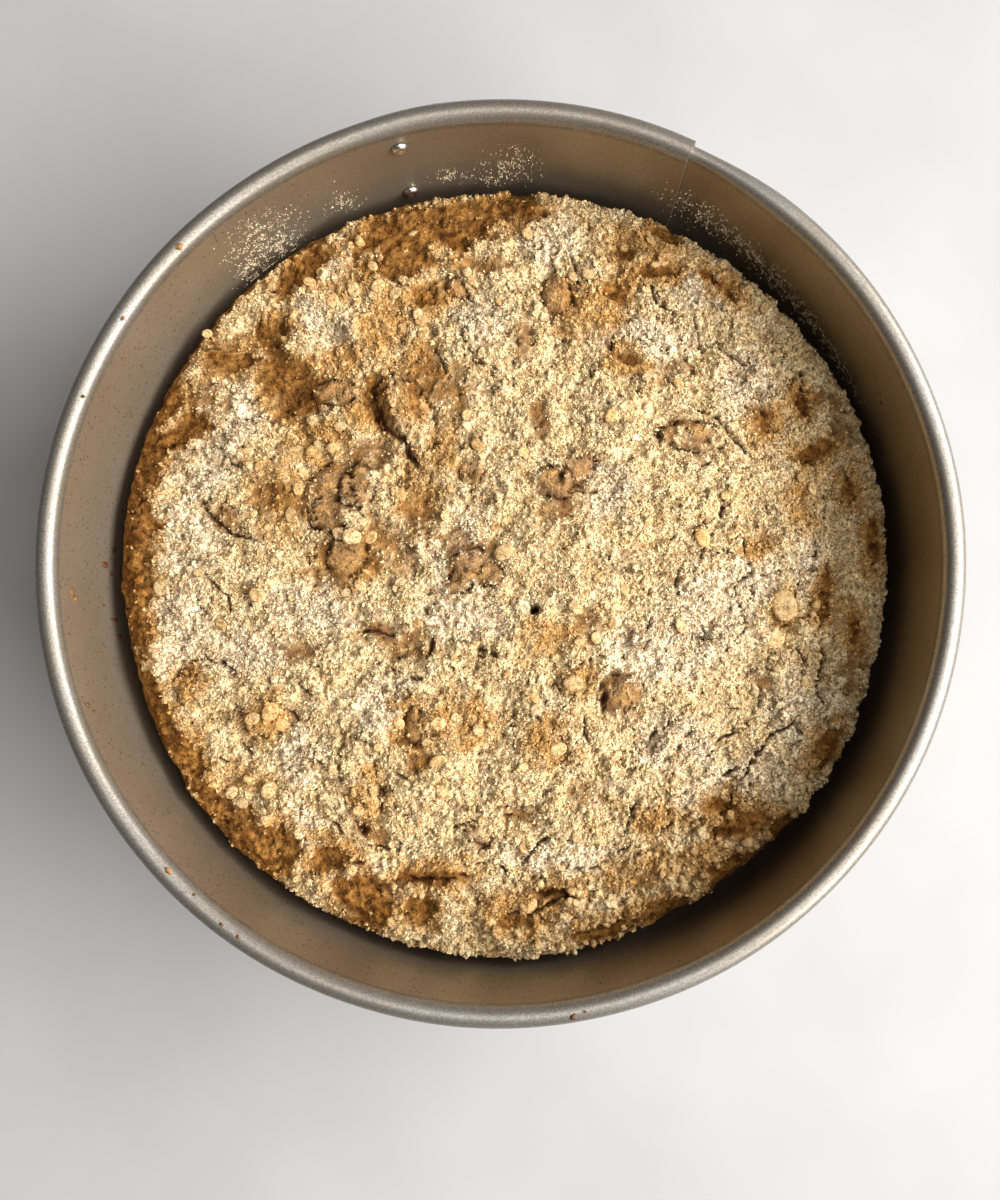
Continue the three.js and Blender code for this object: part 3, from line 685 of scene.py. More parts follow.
def crumb_relief(x, y, bare):
    """Height of the baked-on crumb, with pores in the bare crust instead."""
    coarse = coarseness(x, y)
    clods = (0.9 + 1.2 * coarse) * billow(x, y, 9, 58)
    clods = clods + (0.6 + 2.0 * coarse) * billow(x, y, 5.2, 51)
    clods = clods + (0.9 + 0.9 * coarse) * billow(x, y, 2.7, 52)
    grit = 0.3 * noise(x, y, 1.2, 54)
    pitted = 0.9 * noise(x, y, 3.6, 55) + 0.8 * noise(x, y, 1.7, 56) - 0.5 * billow(x, y, 2.2, 57)
    return (1 - bare) * (clods + grit) + bare * 0.8 * pitted


def creasing(x, y):
    """Thin wandering creases between the sheets and lumps of the topping, 1 on their middle line."""
    broken = ease(0.4 + 1.3 * noise(x, y, 9, 45))
    wide = 1 - np.abs(noise(x, y, 7.5, 46) + 0.35 * noise(x, y, 2.6, 47)) / 0.075
    narrow = 1 - np.abs(noise(x, y, 4.2, 48) + 0.4 * noise(x, y, 1.5, 49)) / 0.09
    return np.clip(np.maximum(wide * broken, 0.8 * narrow * ease(0.7 - broken)), 0, 1)


def surface(x, y):
    """Height of the finished top, what covers it there, and where shade is painted into cracks."""
    bare = bareness(x, y)
    skin, ringed = lump_skin(x, y)
    # The crack field also takes the crevices round the lumps and the creases; it cuts grooves here and is
    # painted near black as shade.
    crack = np.maximum(np.maximum(cracking(x, y), ringed), 0.6 * creasing(x, y))
    relief = crumb_relief(x, y, bare)
    # The tester's hole is sunk here and joins the crack field, so its inside is painted near black as shade.
    hole_x, hole_y, hole = TESTER_HOLE
    pit = ease((hole - np.hypot(x - hole_x, y - hole_y)) / 0.35 + 0.5)
    z = dome(x, y) + relief - 1.5 * ease(crack * 1.3) - 9 * pit
    return z, {"bare": bare, "crack": np.maximum(crack, pit), "relief": relief, "skin": skin}


def covering(x, y):
    """How floury and how golden the topping is at a place, each 0 to 1."""
    drift = 0.3 * noise(x, y, 8, 61) + 0.25 * noise(x, y, 3, 62)
    flour, gold = np.zeros_like(x), np.zeros_like(x)
    for patch in FLOURY_PATCHES:
        flour = np.maximum(flour, ease((1.3 - oval(x, y, *patch) + drift) / 0.8))
    for patch in TOASTED_PATCHES:
        gold = np.maximum(gold, 0.9 * ease((1.3 - oval(x, y, *patch) - drift) / 0.9))
    for at_x, at_y, half_length, half_width, turn in BARE_PATCHES:
        near = oval(x, y, at_x, at_y, half_length + 4, half_width + 4, turn)
        gold = np.maximum(gold, 0.9 * ease((1.25 - near - drift) / 0.7))
    gold = np.clip(gold + 0.3 * noise(x, y, 6, 63) + 0.25 * noise(x, y, 2.5, 64), 0, 1)
    return np.clip(flour + 0.15 * noise(x, y, 5, 65), 0, 1) * (1 - 0.5 * gold), gold


def disc_grid(n):
    """A square grid of points laid evenly over a disc of radius 1, and the indices round its edge."""
    a, b = np.meshgrid(np.linspace(-1, 1, n + 1), np.linspace(-1, 1, n + 1), indexing="ij")
    wide = np.abs(a) > np.abs(b)
    safe_a, safe_b = np.where(a == 0, 1, a), np.where(b == 0, 1, b)
    radius = np.where(wide, a, b)
    angle = np.where(wide, np.pi / 4 * b / safe_a, np.pi / 2 - np.pi / 4 * a / safe_b)
    x, y = radius * np.cos(angle), radius * np.sin(angle)
    index = np.arange((n + 1) ** 2).reshape(n + 1, n + 1)
    rim = np.concatenate([index[:-1, 0], index[-1, :-1], index[:0:-1, -1], index[0, :0:-1]])
    faces = np.stack([index[:-1, :-1], index[1:, :-1], index[1:, 1:], index[:-1, 1:]], axis=-1).reshape(-1, 4)
    return x.ravel(), y.ravel(), faces, rim


def cake_mesh():
    """The whole cake as one closed skin: its top, its baked side and its flat underside."""
    x, y, faces, rim = disc_grid(CAKE_GRID)
    angle = np.arctan2(y, x)
    reach = 1 - (1 - np.minimum(np.hypot(x, y), 1)) ** 1.12
    x, y = (reach * outline(angle) * part for part in (np.cos(angle), np.sin(angle)))
    z, covers = surface(x, y)
    points = [np.column_stack([x, y, z])]
    fields = {name: [values] for name, values in covers.items()}
    quads = [faces]
    ring, before = points[0][rim], rim
    theta = np.arctan2(ring[:, 1], ring[:, 0])
    rows = []
    for t in (0.12, 0.3, 0.5, 0.72, 1):
        high = np.full_like(theta, CAKE_EDGE_Z + (CAKE_LEDGE_Z + 1.5 - CAKE_EDGE_Z) * t)
        rows.append((outline(theta) - CAKE_TUCK * t + 0.3 * noise(theta * 90, high, 2.5, 35), high))
    for inset, level in ((1.2, CAKE_LEDGE_Z), (5.5, CAKE_LEDGE_Z), (9.5, CAKE_FOOT_Z), (60, CAKE_FOOT_Z)):
        rows.append((outline(theta) - CAKE_TUCK - inset, np.full_like(theta, level)))
    count = len(points[0])
    for radius, high in rows:
        points.append(np.column_stack([radius * np.cos(theta), radius * np.sin(theta), high]))
        for name in fields:
            fields[name].append(np.full(len(theta), 1.0 if name == "bare" else 0.0))
        now = np.arange(len(theta)) + count
        quads.append(np.stack([before, now, np.roll(now, -1), np.roll(before, -1)], axis=-1))
        before, count = now, count + len(theta)
    points.append([(0, 0, CAKE_FOOT_Z)])
    for name in fields:
        fields[name].append([1.0])
    fan = [(a, count, b) for a, b in zip(before.tolist(), np.roll(before, -1).tolist())]
    faces = [*np.concatenate(quads).tolist(), *fan]
    return np.concatenate(points), faces, {name: np.concatenate(parts) for name, parts in fields.items()}


def paint(piece, **fields):
    """Stores what covers a piece, and where shade is painted on it, point by point, for its material to read.
    """
    for name, values in fields.items():
        attribute = piece.data.attributes.new(name, "FLOAT", "POINT")
        attribute.data.foreach_set("value", np.asarray(values, np.float32))


def thin_line(tree, value, half_width):
    """1 where a noise passes its middle value, 0 away from there: a net of thin wandering lines."""
    off = node(tree, "Math", {0: sums(tree, value, 0.5, "SUBTRACT")}, operation="ABSOLUTE").outputs[0]
    return spread(tree, off, 0, half_width, 1, 0)


def baked_crumb():
    """Colour of crumb, flour, toasted patches and bare crust, from how much of each there is, with painted
    shade in the hollows, creases, pores and cracks.
    """
    names = ("Bare", "Flour", "Gold", "Tone", "Depth", "Crack")
    group, given, out = effect(
        "baked_crumb",
        [(name, "Float") for name in names],
        [("Colour", "Color"), ("Roughness", "Float"), ("Height", "Float")])
    tree = group
    grain = mottle(tree, 0.55, 3, 0.7)
    crumbs = mottle(tree, 1.5, 3, 0.6)
    patchy = spread(tree, mottle(tree, 11, 2), 0.42, 0.58)
    crease = thin_line(tree, mottle(tree, 5.5, 4, 0.62), 0.013)
    crease = sums(tree, crease, patchy, "MULTIPLY")
    crease = sums(tree, crease, thin_line(tree, mottle(tree, 2.3, 3, 0.65), 0.022), "MAXIMUM")
    warm = spread(tree, mottle(tree, 5, 3), 0.35, 0.65)
    crumb = mixed(tree, warm, (0.86, 0.7, 0.43), (0.79, 0.6, 0.31))
    crumb = mixed(tree, given["Flour"], crumb, (0.88, 0.75, 0.53))
    crumb = mixed(tree, given["Gold"], crumb, (0.56, 0.31, 0.1))
    # Painted shade: the crumb turns deep brown in the little hollows between crumbs.
    shade = spread(tree, sums(tree, grain, crumbs), 0.74, 1.04)
    crumb = mixed(tree, shade, (0.27, 0.13, 0.03), crumb)
    # Painted shade: where the Depth input or a crease is high, the crumb is darkened to near-black brown.
    shaded_hollow = sums(tree, given["Depth"], sums(tree, crease, 0.9, "MULTIPLY"), "MAXIMUM")
    shaded_crumb = mixed(tree, shaded_hollow, crumb, (0.15, 0.06, 0.013))
    # Painted shade: the pits of the bare crust are coloured near black.
    pores = spread(tree, mottle(tree, 1.9, 4, 0.7), 0.34, 0.6)
    brown = spread(tree, mottle(tree, 6, 4, 0.65), 0.38, 0.62)
    light = mixed(tree, brown, (0.2, 0.075, 0.012), (0.45, 0.215, 0.05))
    crust = mixed(tree, pores, (0.06, 0.019, 0.004), light)
    speck = spread(tree, grain, 0.62, 0.74, 0, 0.35)
    crust = mixed(tree, speck, crust, (0.58, 0.33, 0.1))
    dusted = sums(tree, given["Flour"], spread(tree, grain, 0.4, 0.6, 0.15, 0.6), "MULTIPLY")
    crust = mixed(tree, dusted, crust, (0.6, 0.43, 0.22))
    colour = mixed(tree, given["Bare"], shaded_crumb, crust)
    colour = node(tree, "VectorMath", {0: colour, "Scale": given["Tone"]}, operation="SCALE").outputs[0]
    # Painted shade: cracks, the crevices round the lumps, the creases and the tester's hole are coloured near
    # black.
    colour = mixed(tree, given["Crack"], colour, (0.05, 0.016, 0.004))
    tree.links.new(colour, out["Colour"])
    tree.links.new(spread(tree, given["Bare"], 0, 1, 0.95, 0.62), out["Roughness"])
    bumps = sums(tree, sums(tree, grain, crumbs), sums(tree, shaded_hollow, 0.6, "MULTIPLY"), "SUBTRACT")
    pitted = sums(tree, pores, grain)
    height = node(tree, "Mix", {0: given["Bare"], 2: bumps, 3: pitted}, data_type="FLOAT").outputs[0]
    tree.links.new(height, out["Height"])
    return group


crumb_effect = baked_crumb()


def covered(name, bump_depth):
    """Material for the cake or its crumbs, which reads the covering and the painted shade stored on the
    piece.
    """
    material, tree, shader = new_material(name)
    read = {word.title(): node(tree, "Attribute", attribute_name=word).outputs["Fac"]
            for word in ("bare", "flour", "gold", "tone", "depth", "crack")}
    crumb = placed(tree, crumb_effect, read)
    tree.links.new(crumb["Colour"], shader["Base Color"])
    tree.links.new(crumb["Roughness"], shader["Roughness"])
    bump = node(tree, "Bump", {"Height": crumb["Height"], "Strength": 0.9, "Distance": bump_depth * MM})
    tree.links.new(bump.outputs[0], shader["Normal"])
    shader["Specular IOR Level"].default_value = 0.1
    return material


cake_points, cake_faces, cake_fields = cake_mesh()
cake = add_piece("cake_body", cake_points, cake_faces, [covered("cake_crust", 0.6)],
                 "tin", ["cake"], bend=0)
cake_flour, cake_gold = covering(cake_points[:, 0], cake_points[:, 1])
cake_flour = np.maximum(cake_flour * (1 - cake_fields["bare"]), 0.55 * cake_fields["skin"])
# depth paints shade into the low places of the crumb; crack paints near-black shade into the cracks, the
# crevices round the lumps, the creases and the tester's hole.
paint(cake, bare=cake_fields["bare"], flour=cake_flour, gold=cake_gold, tone=1 + 0.2 * cake_fields["skin"],
      depth=0.8 * ease(1 - cake_fields["relief"] / 0.7), crack=ease(cake_fields["crack"] * 1.5))

# ---- crumbs and flour ----
# Flour, sugar and butter rubbed to crumbs and strewn over the batter before baking. They lie loose and
# half sunk on the baked topping, thick in most places, and leave the bare crust and the cracks clear.


def random_turns(count, rng):
    """Rotations any way up."""
    q = rng.normal(size=(count, 4))
    w, x, y, z = (q / np.linalg.norm(q, axis=1, keepdims=True)).T
    return np.stack([
        1 - 2 * (y * y + z * z), 2 * (x * y - w * z), 2 * (x * z + w * y),
        2 * (x * y + w * z), 1 - 2 * (x * x + z * z), 2 * (y * z - w * x),
        2 * (x * z - w * y), 2 * (y * z + w * x), 1 - 2 * (x * x + y * y),
    ], axis=-1).reshape(count, 3, 3)


def strew(shape, places, sizes, turns, roughness, rng):
    """Copies a small shape to every place, each copy turned, sized and roughened on its own."""
    corners, faces = shape
    rough = 1 + roughness * rng.uniform(-1, 1, (len(places), len(corners), 1))
    copies = corners[None] * rough * sizes[:, None, :]
    copies = np.einsum("nij,nkj->nki", turns, copies) + places[:, None, :]
    numbers = faces[None] + (np.arange(len(places)) * len(corners))[:, None, None]
    return copies.reshape(-1, 3), numbers.reshape(-1, faces.shape[1])


TETRAHEDRON = (
    np.array([(1, 1, 1), (1, -1, -1), (-1, 1, -1), (-1, -1, 1)]) / math.sqrt(3),
    np.array([(0, 1, 2), (0, 3, 1), (0, 2, 3), (1, 3, 2)]),
)
OCTAHEDRON = (
    np.array([(1, 0, 0), (-1, 0, 0), (0, 1, 0), (0, -1, 0), (0, 0, 1), (0, 0, -1)], float),
    np.array([(0, 2, 4), (2, 1, 4), (1, 3, 4), (3, 0, 4), (2, 0, 5), (1, 2, 5), (3, 1, 5), (0, 3, 5)]),
)


def scattered_on_top(count, likely, rng):
    """Places over the cake's top, kept where likely(x, y) beats a dice throw, with their cover."""
    kept_x, kept_y = np.empty(0), np.empty(0)
    while len(kept_x) < count:
        angle = rng.uniform(-np.pi, np.pi, count)
        reach = np.sqrt(rng.uniform(0, 1, count)) * outline(angle) * 0.995
        x, y = reach * np.cos(angle), reach * np.sin(angle)
        keep = rng.uniform(0, 1, count) < likely(x, y)
        kept_x, kept_y = np.append(kept_x, x[keep]), np.append(kept_y, y[keep])
    x, y = kept_x[:count], kept_y[:count]
    z, covers = surface(x, y)
    return x, y, z, covers


def clear_of_crust(x, y):
    """How likely a grain is to lie at a place: few on bare crust, none in a crack or the tester's hole."""
    crack = np.maximum(cracking(x, y), 0.35 * creasing(x, y))
    bare = bareness(x, y)
    raised = 0.2 + 0.8 * ease((crumb_relief(x, y, bare) - 0.2) / 0.5)
    hole_x, hole_y, hole = TESTER_HOLE
    crack = np.where(np.hypot(x - hole_x, y - hole_y) < hole + 0.35, 1, crack)
    return (1 - 0.93 * bare) * (1 - ease(crack * 4)) * raised


def add_grains(name, shape, count, smallest, largest, sunk, seed):
    """One kind of loose grain as one joined mesh."""
    rng = np.random.default_rng(seed)
    x, y, z, covers = scattered_on_top(count, clear_of_crust, rng)
    size = rng.uniform(smallest, largest, (count, 1)) / 2 * rng.uniform(0.7, 1.3, (count, 3))
    places = np.column_stack([x, y, z + sunk * size.mean(axis=1)])
    points, faces = strew(shape, places, size, random_turns(count, rng), 0.4, rng)
    grains = add_piece(name, points, faces, [covered(name + "_look", 0.15)],
                       "tin", ["cake"], bend=20)
    flour, gold = covering(x, y)
    each = len(shape[0])
    tone = rng.normal(1.0, 0.17, count)
    gold = np.clip(gold * rng.uniform(0.55, 1.2, count) + (rng.uniform(0, 1, count) < 0.06) * 0.7, 0, 1)
    flour = np.clip(flour * rng.uniform(0.3, 1.3, count), 0, 1)
    fields = {"bare": 0.35 * covers["bare"], "flour": flour, "gold": gold, "tone": tone}
    paint(grains, **{name: np.repeat(values, each) for name, values in fields.items()})


add_grains("coarse_crumbs", OCTAHEDRON, 20000, 0.6, 1.3, 0.15, seed=71)
add_grains("fine_crumbs", OCTAHEDRON, 24000, 0.45, 0.8, 0.4, seed=72)
add_grains("flour_grains", TETRAHEDRON, 42000, 0.35, 0.6, 0.6, seed=73)

# ---- clods ----
# Bigger lumps of the same topping, two to four millimetres across, that held together when it was rubbed in.
# They lie thickest round the front and right edge.
CLOD_COUNT = 900


def round_lump(detail):
    """A ball of even triangles."""
    shape = bmesh.new()
    bmesh.ops.create_icosphere(shape, subdivisions=detail, radius=1)
    corners = np.array([v.co for v in shape.verts])
    faces = np.array([[v.index for v in f.verts] for f in shape.faces])
    shape.free()
    return corners, faces


def clod_chance(x, y):
    """How likely a clod is to lie at a place."""
    return np.clip(clear_of_crust(x, y) * (0.03 + 0.9 * coarseness(x, y) ** 2), 0, 1)


def add_clods():
    """The clods, each a ball pushed in and out till it is ragged."""
    rng = np.random.default_rng(81)
    x, y, z, _ = scattered_on_top(CLOD_COUNT, clod_chance, rng)
    size = rng.uniform(1.2, 2.8, (CLOD_COUNT, 1)) / 2 * rng.uniform(0.6, 1.3, (CLOD_COUNT, 3))
    places = np.column_stack([x, y, z - 0.1 * size.mean(axis=1)])
    shape = round_lump(2)
    points, faces = strew(shape, places, size, random_turns(CLOD_COUNT, rng), 0.2, rng)
    away = noise(points[:, 0], points[:, 1] + 1.7 * points[:, 2], 0.9, 82)
    away += 0.6 * noise(points[:, 0] + 1.3 * points[:, 2], points[:, 1], 0.5, 83)
    centres = np.repeat(places, len(shape[0]), axis=0)
    points = centres + (points - centres) * (1 + 0.35 * away)[:, None]
    clods = add_piece("topping_clods", points, faces, [covered("clod_look", 0.3)],
                      "tin", ["cake"], bend=0)
    flour, gold = covering(points[:, 0], points[:, 1])
    tone = np.repeat(rng.normal(1.0, 0.08, CLOD_COUNT), len(shape[0]))
    # Painted shade: the clods are darker in the hollows where they are pushed in.
    hollow_shade = 0.5 * np.clip(-away, 0, 1)
    paint(clods, bare=0 * flour, flour=0.8 * flour, gold=0.8 * gold, tone=tone, depth=hollow_shade)


add_clods()

# ---- oat flakes ----
# Rolled oats in the topping, flat ovals of three to five millimetres with a crease down the middle, toasted
# pale gold and stuck down by the butter at all angles.
FLAKE_COUNT = 150
FLAKE_SPOTS = [
    (-21, 69, 4.4), (-21, 65.5, 4), (-41, 78, 4), (-34, 79, 4), (-29, 77, 3.5), (-54, 81, 3.4),
    (-47, 75, 4), (-57, 31, 4.6), (-66, 27, 5), (-50, 33, 3.4), (-46, 32, 3.4), (-70, 33, 3.2),
    (-56, 20.5, 3.4), (-58, 13, 4), (-64, 13, 3.6), (-40, 6.5, 5), (-35, 6.5, 3.6), (-44, 7.5, 3.4),
    (-27, 18.5, 3.8), (-96, -7, 4.4), (-67, -9.5, 4.6), (-63, -42, 5), (-68, -44, 4), (-60, -46, 4),
    (-16, -45, 4), (-7, -44, 3.6), (-5, -47, 3.4), (-16, -56, 5), (-75, -65, 3.6), (-72, -68, 3.4),
    (-64, -64, 5), (2, 2, 5), (-38, -7, 3.4), (-42, -9, 3), (79.5, -12.5, 8), (77, -22, 5.6), (57, 6, 4.6),
    (21, -34, 5), (26, 82, 3.4), (22, 82, 3), (-36, 86, 3), (-14, -64, 5), (86, -34, 4), (-5, 32, 4),
    (32, 40, 4), (-52, 40, 3.4), (-44, 38, 3.4), (-60, 24, 3.4), (51, -18, 4), (17, -52, 4.4),
]


def flake_shape():
    """An oval disc with a thin rim, a low belly and a crease along it."""
    around = 14
    rings = ((0.4, 0.17), (0.75, 0.15), (0.95, 0.09), (1.0, 0.0))
    turns = np.linspace(0, 2 * np.pi, around, endpoint=False)
    corners = [(0, 0, 0.1), (0, 0, -0.1)]
    for side in (1, -1):
        for radius, high in rings[: None if side > 0 else -1]:
            crease = 0.06 * np.exp(-(np.sin(turns) * radius / 0.16) ** 2)
            level = high - crease if side > 0 else -high + 0 * turns
            corners += list(zip(radius * np.cos(turns), radius * 0.78 * np.sin(turns), level))
    faces = []
    top = [2 + i * around for i in range(4)]
    below = [2 + (4 + i) * around for i in range(3)] + [top[3]]
    for rows, middle, flip in ((top, 0, False), (below, 1, True)):
        for j in range(around):
            k = (j + 1) % around
            strip = [(middle, rows[0] + j, rows[0] + k)]
            for a, b in zip(rows, rows[1:]):
                strip += [(a + j, b + j, b + k), (a + j, b + k, a + k)]
            faces += [face[::-1] if flip else face for face in strip]
    return np.array(corners), np.array(faces)


def leaning_turns(count, lean, rng):
    """Rotations that keep a flat thing nearly flat, turned any way about the upright."""
    spin = rng.uniform(0, 2 * np.pi, count)
    tilt = np.radians(rng.normal(0, lean, count))
    way = rng.uniform(0, 2 * np.pi, count)
    zero, one = np.zeros(count), np.ones(count)

    def about_up(angle):
        c, s = np.cos(angle), np.sin(angle)
        return np.stack([c, -s, zero, s, c, zero, zero, zero, one], axis=-1).reshape(count, 3, 3)

    c, s = np.cos(tilt), np.sin(tilt)
    tipped = np.stack([one, zero, zero, zero, c, -s, zero, s, c], axis=-1).reshape(count, 3, 3)
    return about_up(way) @ tipped @ about_up(spin - way)


def add_flakes():
    """The big flakes in their own places, then the loose ones."""
    rng = np.random.default_rng(91)
    loose = FLAKE_COUNT - len(FLAKE_SPOTS)
    x, y, _, _ = scattered_on_top(loose, clear_of_crust, rng)
    spots = np.array(FLAKE_SPOTS)
    x, y = np.append(spots[:, 0], x), np.append(spots[:, 1], y)
    across = np.append(1.15 * spots[:, 2], rng.uniform(2.2, 3.8, loose))
    z, _ = surface(x, y)
    size = across[:, None] / 2 * np.column_stack([np.ones((FLAKE_COUNT, 2)), np.full(FLAKE_COUNT, 1.1)])
    places = np.column_stack([x, y, z + 0.6])
    shape = flake_shape()
    points, faces = strew(shape, places, size, leaning_turns(FLAKE_COUNT, 9, rng), 0.06, rng)
    flakes = add_piece("oat_flakes", points, faces, [covered("flake_look", 0.12)],
                       "tin", ["cake"], bend=0)
    each = len(shape[0])
    gold = np.repeat(rng.uniform(0.3, 0.75, FLAKE_COUNT), each)
    tone = np.repeat(rng.normal(0.9, 0.1, FLAKE_COUNT), each)
    paint(flakes, bare=0 * gold, flour=0 * gold, gold=gold, tone=tone)


add_flakes()

# ---- flour on the tin ----
# Flour and sugar that missed the cake, stuck in small drifts to the inside of the tin at the back and along
# the wall just above the cake's edge at the right.
DRIFTS = [
    (127.5, 46, 2.2, 6, 230), (124, 37, 1.6, 4, 140), (130, 36, 1.2, 3, 70), (126, 55, 1.6, 3, 70),
    (122, 48, 2, 4, 60), (129, 29, 1.4, 3, 70), (113, 42, 1.3, 3, 60), (97, 40, 1.4, 2, 50),
    (91, 36, 1.2, 2, 40), (88, 45, 1.8, 5, 130), (60, 46, 2.5, 4, 110), (54, 43, 3, 3, 120),
    (47, 41, 3, 3, 120), (40, 38, 3.5, 2.5, 150), (31, 37, 4, 2, 110),
]


def add_wall_flour():
    """Specks of flour on the band's inner face, clumped within each drift."""
    rng = np.random.default_rng(95)
    angle, high = [], []
    for middle, level, spread_round, spread_up, count in DRIFTS:
        angle.append(rng.normal(middle, spread_round, 4 * count))
        high.append(rng.normal(level, spread_up, 4 * count))
    angle, high = np.concatenate(angle), np.clip(np.concatenate(high), 31, 62)
    clumped = noise(angle * 2, high, 2.2, 97) > -0.1
    angle, high = angle[clumped], high[clumped]
    size = rng.uniform(0.16, 0.42, (len(angle), 1)) / 2 * rng.uniform(0.7, 1.3, (len(angle), 3))
    places = ring_point(angle, INNER_RADIUS - 0.08, high)
    points, faces = strew(OCTAHEDRON, places, size, random_turns(len(angle), rng), 0.4, rng)
    dust = add_piece("wall_flour", points, faces, [covered("wall_flour_look", 0.1)],
                     "tin", ["cake"], bend=20)
    ones = np.ones(len(points))
    paint(dust, bare=0 * ones, flour=ones, gold=0 * ones, tone=ones)


add_wall_flour()

# ---- burnt-on bits ----
# Scraps of crumb and drips of sugar that caught on the tin's wall and rim and burnt there: angle, height,
# distance out from the wall, width round the tin, width up it, and how dark they are.
SCRAPS = [
    (135.6, 69.9, 1.2, 1.8, 1.5, 0.25), (-135.4, 69.9, 1.0, 2.2, 1.2, 0.2),
    (-80.1, 69.6, 3.4, 2.0, 1.7, 1.0), (-78.7, 69.9, 2.6, 0.7, 0.6, 1.0), (-175.3, 58.6, 0, 2.6, 2.2, 0.75),
    (-174.4, 57, 0, 1.4, 1.6, 0.6), (-159.8, 62.6, 0, 1.5, 1.6, 0.9), (-158.8, 60.3, 0, 1.0, 1.2, 0.9),
    (22, 49.6, 0, 2.0, 1.8, 0.9), (23.2, 51.2, 0, 1.0, 1.1, 0.8), (180, 38, 0, 1.8, 4.5, 1.0),
    (181.2, 34, 0, 1.2, 3, 1.0), (177.6, 33, 0, 1.6, 4, 1.0), (188, 34, 0, 1.3, 5, 1.0),
    (190.5, 32, 0, 1.2, 4, 1.0), (186, 40, 0, 0.8, 3, 0.9), (159, 69.6, 0.6, 0.9, 0.8, 0.9),
    (147.5, 69.6, 1.0, 1.2, 0.9, 0.6), (-126, 69.7, 2.2, 1.2, 0.9, 0.8), (-123.4, 69.7, 2.3, 1.3, 0.9, 0.8),
    (-131, 69.5, 0.8, 0.8, 0.7, 0.8), (-116, 58, 0, 1.2, 1.1, 0.9), (-113, 52, 0, 0.9, 1.1, 0.9),
    (-107, 55, 0, 1.1, 0.9, 0.9), (-76, 60, 0, 1.1, 1, 0.9), (-166, 52, 0, 0.7, 1.3, 0.8),
    (-167, 46, 0, 0.8, 1.2, 0.8), (-150, 45, 0, 0.9, 1.4, 0.9),
]


def burnt_sugar():
    """Dark caramel that goes from amber to black-brown, glossy where it is thick."""
    material, tree, shader = new_material("burnt_sugar")
    dark = node(tree, "Attribute", attribute_name="dark").outputs["Fac"]
    rough = spread(tree, mottle(tree, 0.8, 2), 0.3, 0.7)
    shade = mixed(tree, dark, (0.42, 0.2, 0.035), (0.07, 0.022, 0.01))
    crusted = mixed(tree, sums(tree, rough, 0.35, "MULTIPLY"), shade, (0.2, 0.09, 0.04))
    tree.links.new(crusted, shader["Base Color"])
    shader["Roughness"].default_value = 0.5
    return material


def add_scraps():
    """Flattened lumps: on the wall they lie against it, and on the rim they sit on top."""
    rng = np.random.default_rng(96)
    shape = round_lump(2)
    points, faces, darkness = [], [], []
    for angle, high, out, wide, tall, dark in SCRAPS:
        turn = math.radians(angle)
        outward = np.array([math.cos(turn), math.sin(turn), 0])
        along = np.array([-math.sin(turn), math.cos(turn), 0])
        lump = shape[0] * (1 + 0.3 * rng.uniform(-1, 1, (len(shape[0]), 1)))
        flat = (along, (0, 0, 1), outward) if out == 0 else (along, outward, (0, 0, 1))
        thin = 0.35 if out == 0 else 0.4
        lump = lump @ (np.array(flat) * np.array([[wide / 2], [tall / 2], [thin]]))
        faces.append(shape[1] + len(points) * len(shape[0]))
        points.append(lump + outward * (INNER_RADIUS + out) + np.array([0, 0, high]))
        darkness.append(np.full(len(lump), dark))
    scraps = add_piece("burnt_scraps", np.concatenate(points), np.concatenate(faces), [burnt_sugar()],
                       "tin", ["cake"], bend=0)
    paint(scraps, dark=np.concatenate(darkness))


add_scraps()

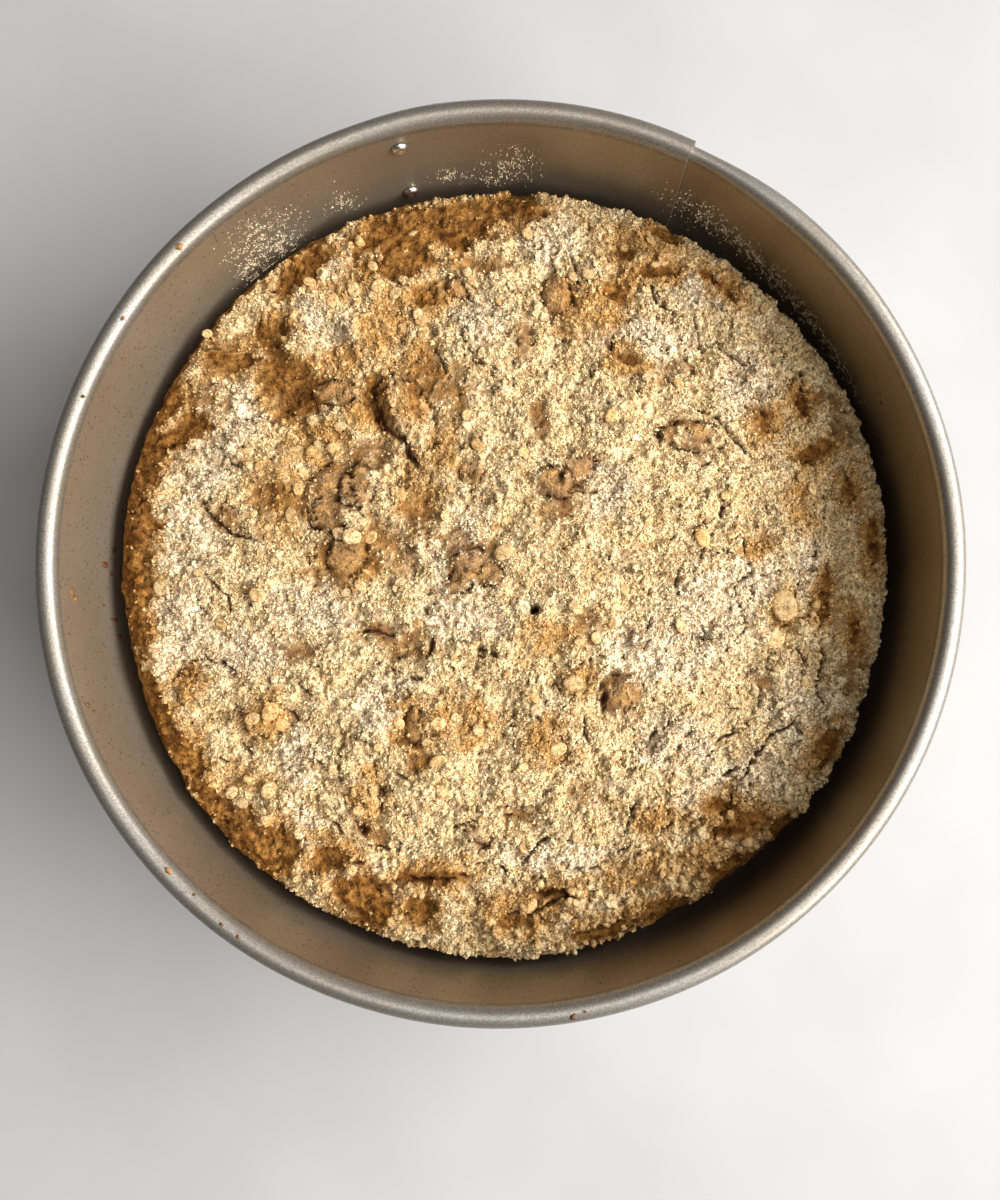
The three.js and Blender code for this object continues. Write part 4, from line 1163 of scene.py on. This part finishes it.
# ---- table, light and camera ----
# A plain pale table top, a broad soft light from the right as from a window, a weak even fill, and the
# camera looking almost straight down into the tin.
TABLE_DROP = 0.2
DAYLIGHT = (1.0, 0.985, 0.96)
ROOM_TINT = (1.0, 0.93, 0.83)
LOOK_AT = (0, 0, 0.03)  # lights are placed in metres
CAMERA_PLACE = (10.7, -27.5, 253.8)  # above the rim's top
CAMERA_TILT = (3.4, 2.0)


def add_table():
    """A plain matt top, a hair below the base."""
    material, tree, shader = new_material("pale_table")
    weave = spread(tree, mottle(tree, 60, 2), 0.3, 0.7)
    tree.links.new(mixed(tree, weave, (0.35, 0.35, 0.355), (0.38, 0.38, 0.382)), shader["Base Color"])
    shader["Roughness"].default_value = 0.9
    bpy.ops.mesh.primitive_plane_add(size=6, location=(0, 0, -TABLE_DROP * MM))
    table = bpy.context.object
    table.name = "table"
    table.data.materials.append(material)


def add_light(name, place, width, height, power):
    """A soft rectangular light, turned towards the cake."""
    light = bpy.data.lights.new(name, "AREA")
    light.shape = "RECTANGLE"
    light.size = width
    light.size_y = height
    light.energy = power
    light.color = DAYLIGHT
    holder = bpy.data.objects.new(name, light)
    holder.location = place
    away = np.subtract(place, LOOK_AT)
    flat = math.hypot(away[0], away[1])
    holder.rotation_euler = (math.atan2(flat, away[2]), 0, math.atan2(away[1], away[0]) + math.pi / 2)
    bpy.context.scene.collection.objects.link(holder)


def add_camera():
    """A standard lens over the tin, a little in front of its middle."""
    lens = bpy.data.cameras.new("camera")
    lens.sensor_fit = "HORIZONTAL"
    lens.sensor_width = 36
    lens.lens = 36
    lens.clip_start = 0.01
    camera = bpy.data.objects.new("camera", lens)
    x, y, above = CAMERA_PLACE
    camera.location = (x * MM, y * MM, (BAND_HIGH + above) * MM)
    camera.rotation_euler = (math.radians(CAMERA_TILT[0]), math.radians(CAMERA_TILT[1]), 0)
    bpy.context.scene.collection.objects.link(camera)
    bpy.context.scene.camera = camera


add_table()
add_light("window", (0.95, -0.1, 0.76), 1.8, 0.5, 49)
add_light("ceiling", (0.3, -0.05, 1.2), 0.7, 0.7, 8)
add_camera()
sky = bpy.data.worlds.new("room")
sky.use_nodes = True
sky_inputs = sky.node_tree.nodes["Background"].inputs
sky_inputs["Color"].default_value = (*ROOM_TINT, 1)
sky_inputs["Strength"].default_value = 0.03
bpy.context.scene.world = sky
bpy.context.scene.view_settings.view_transform = "Standard"
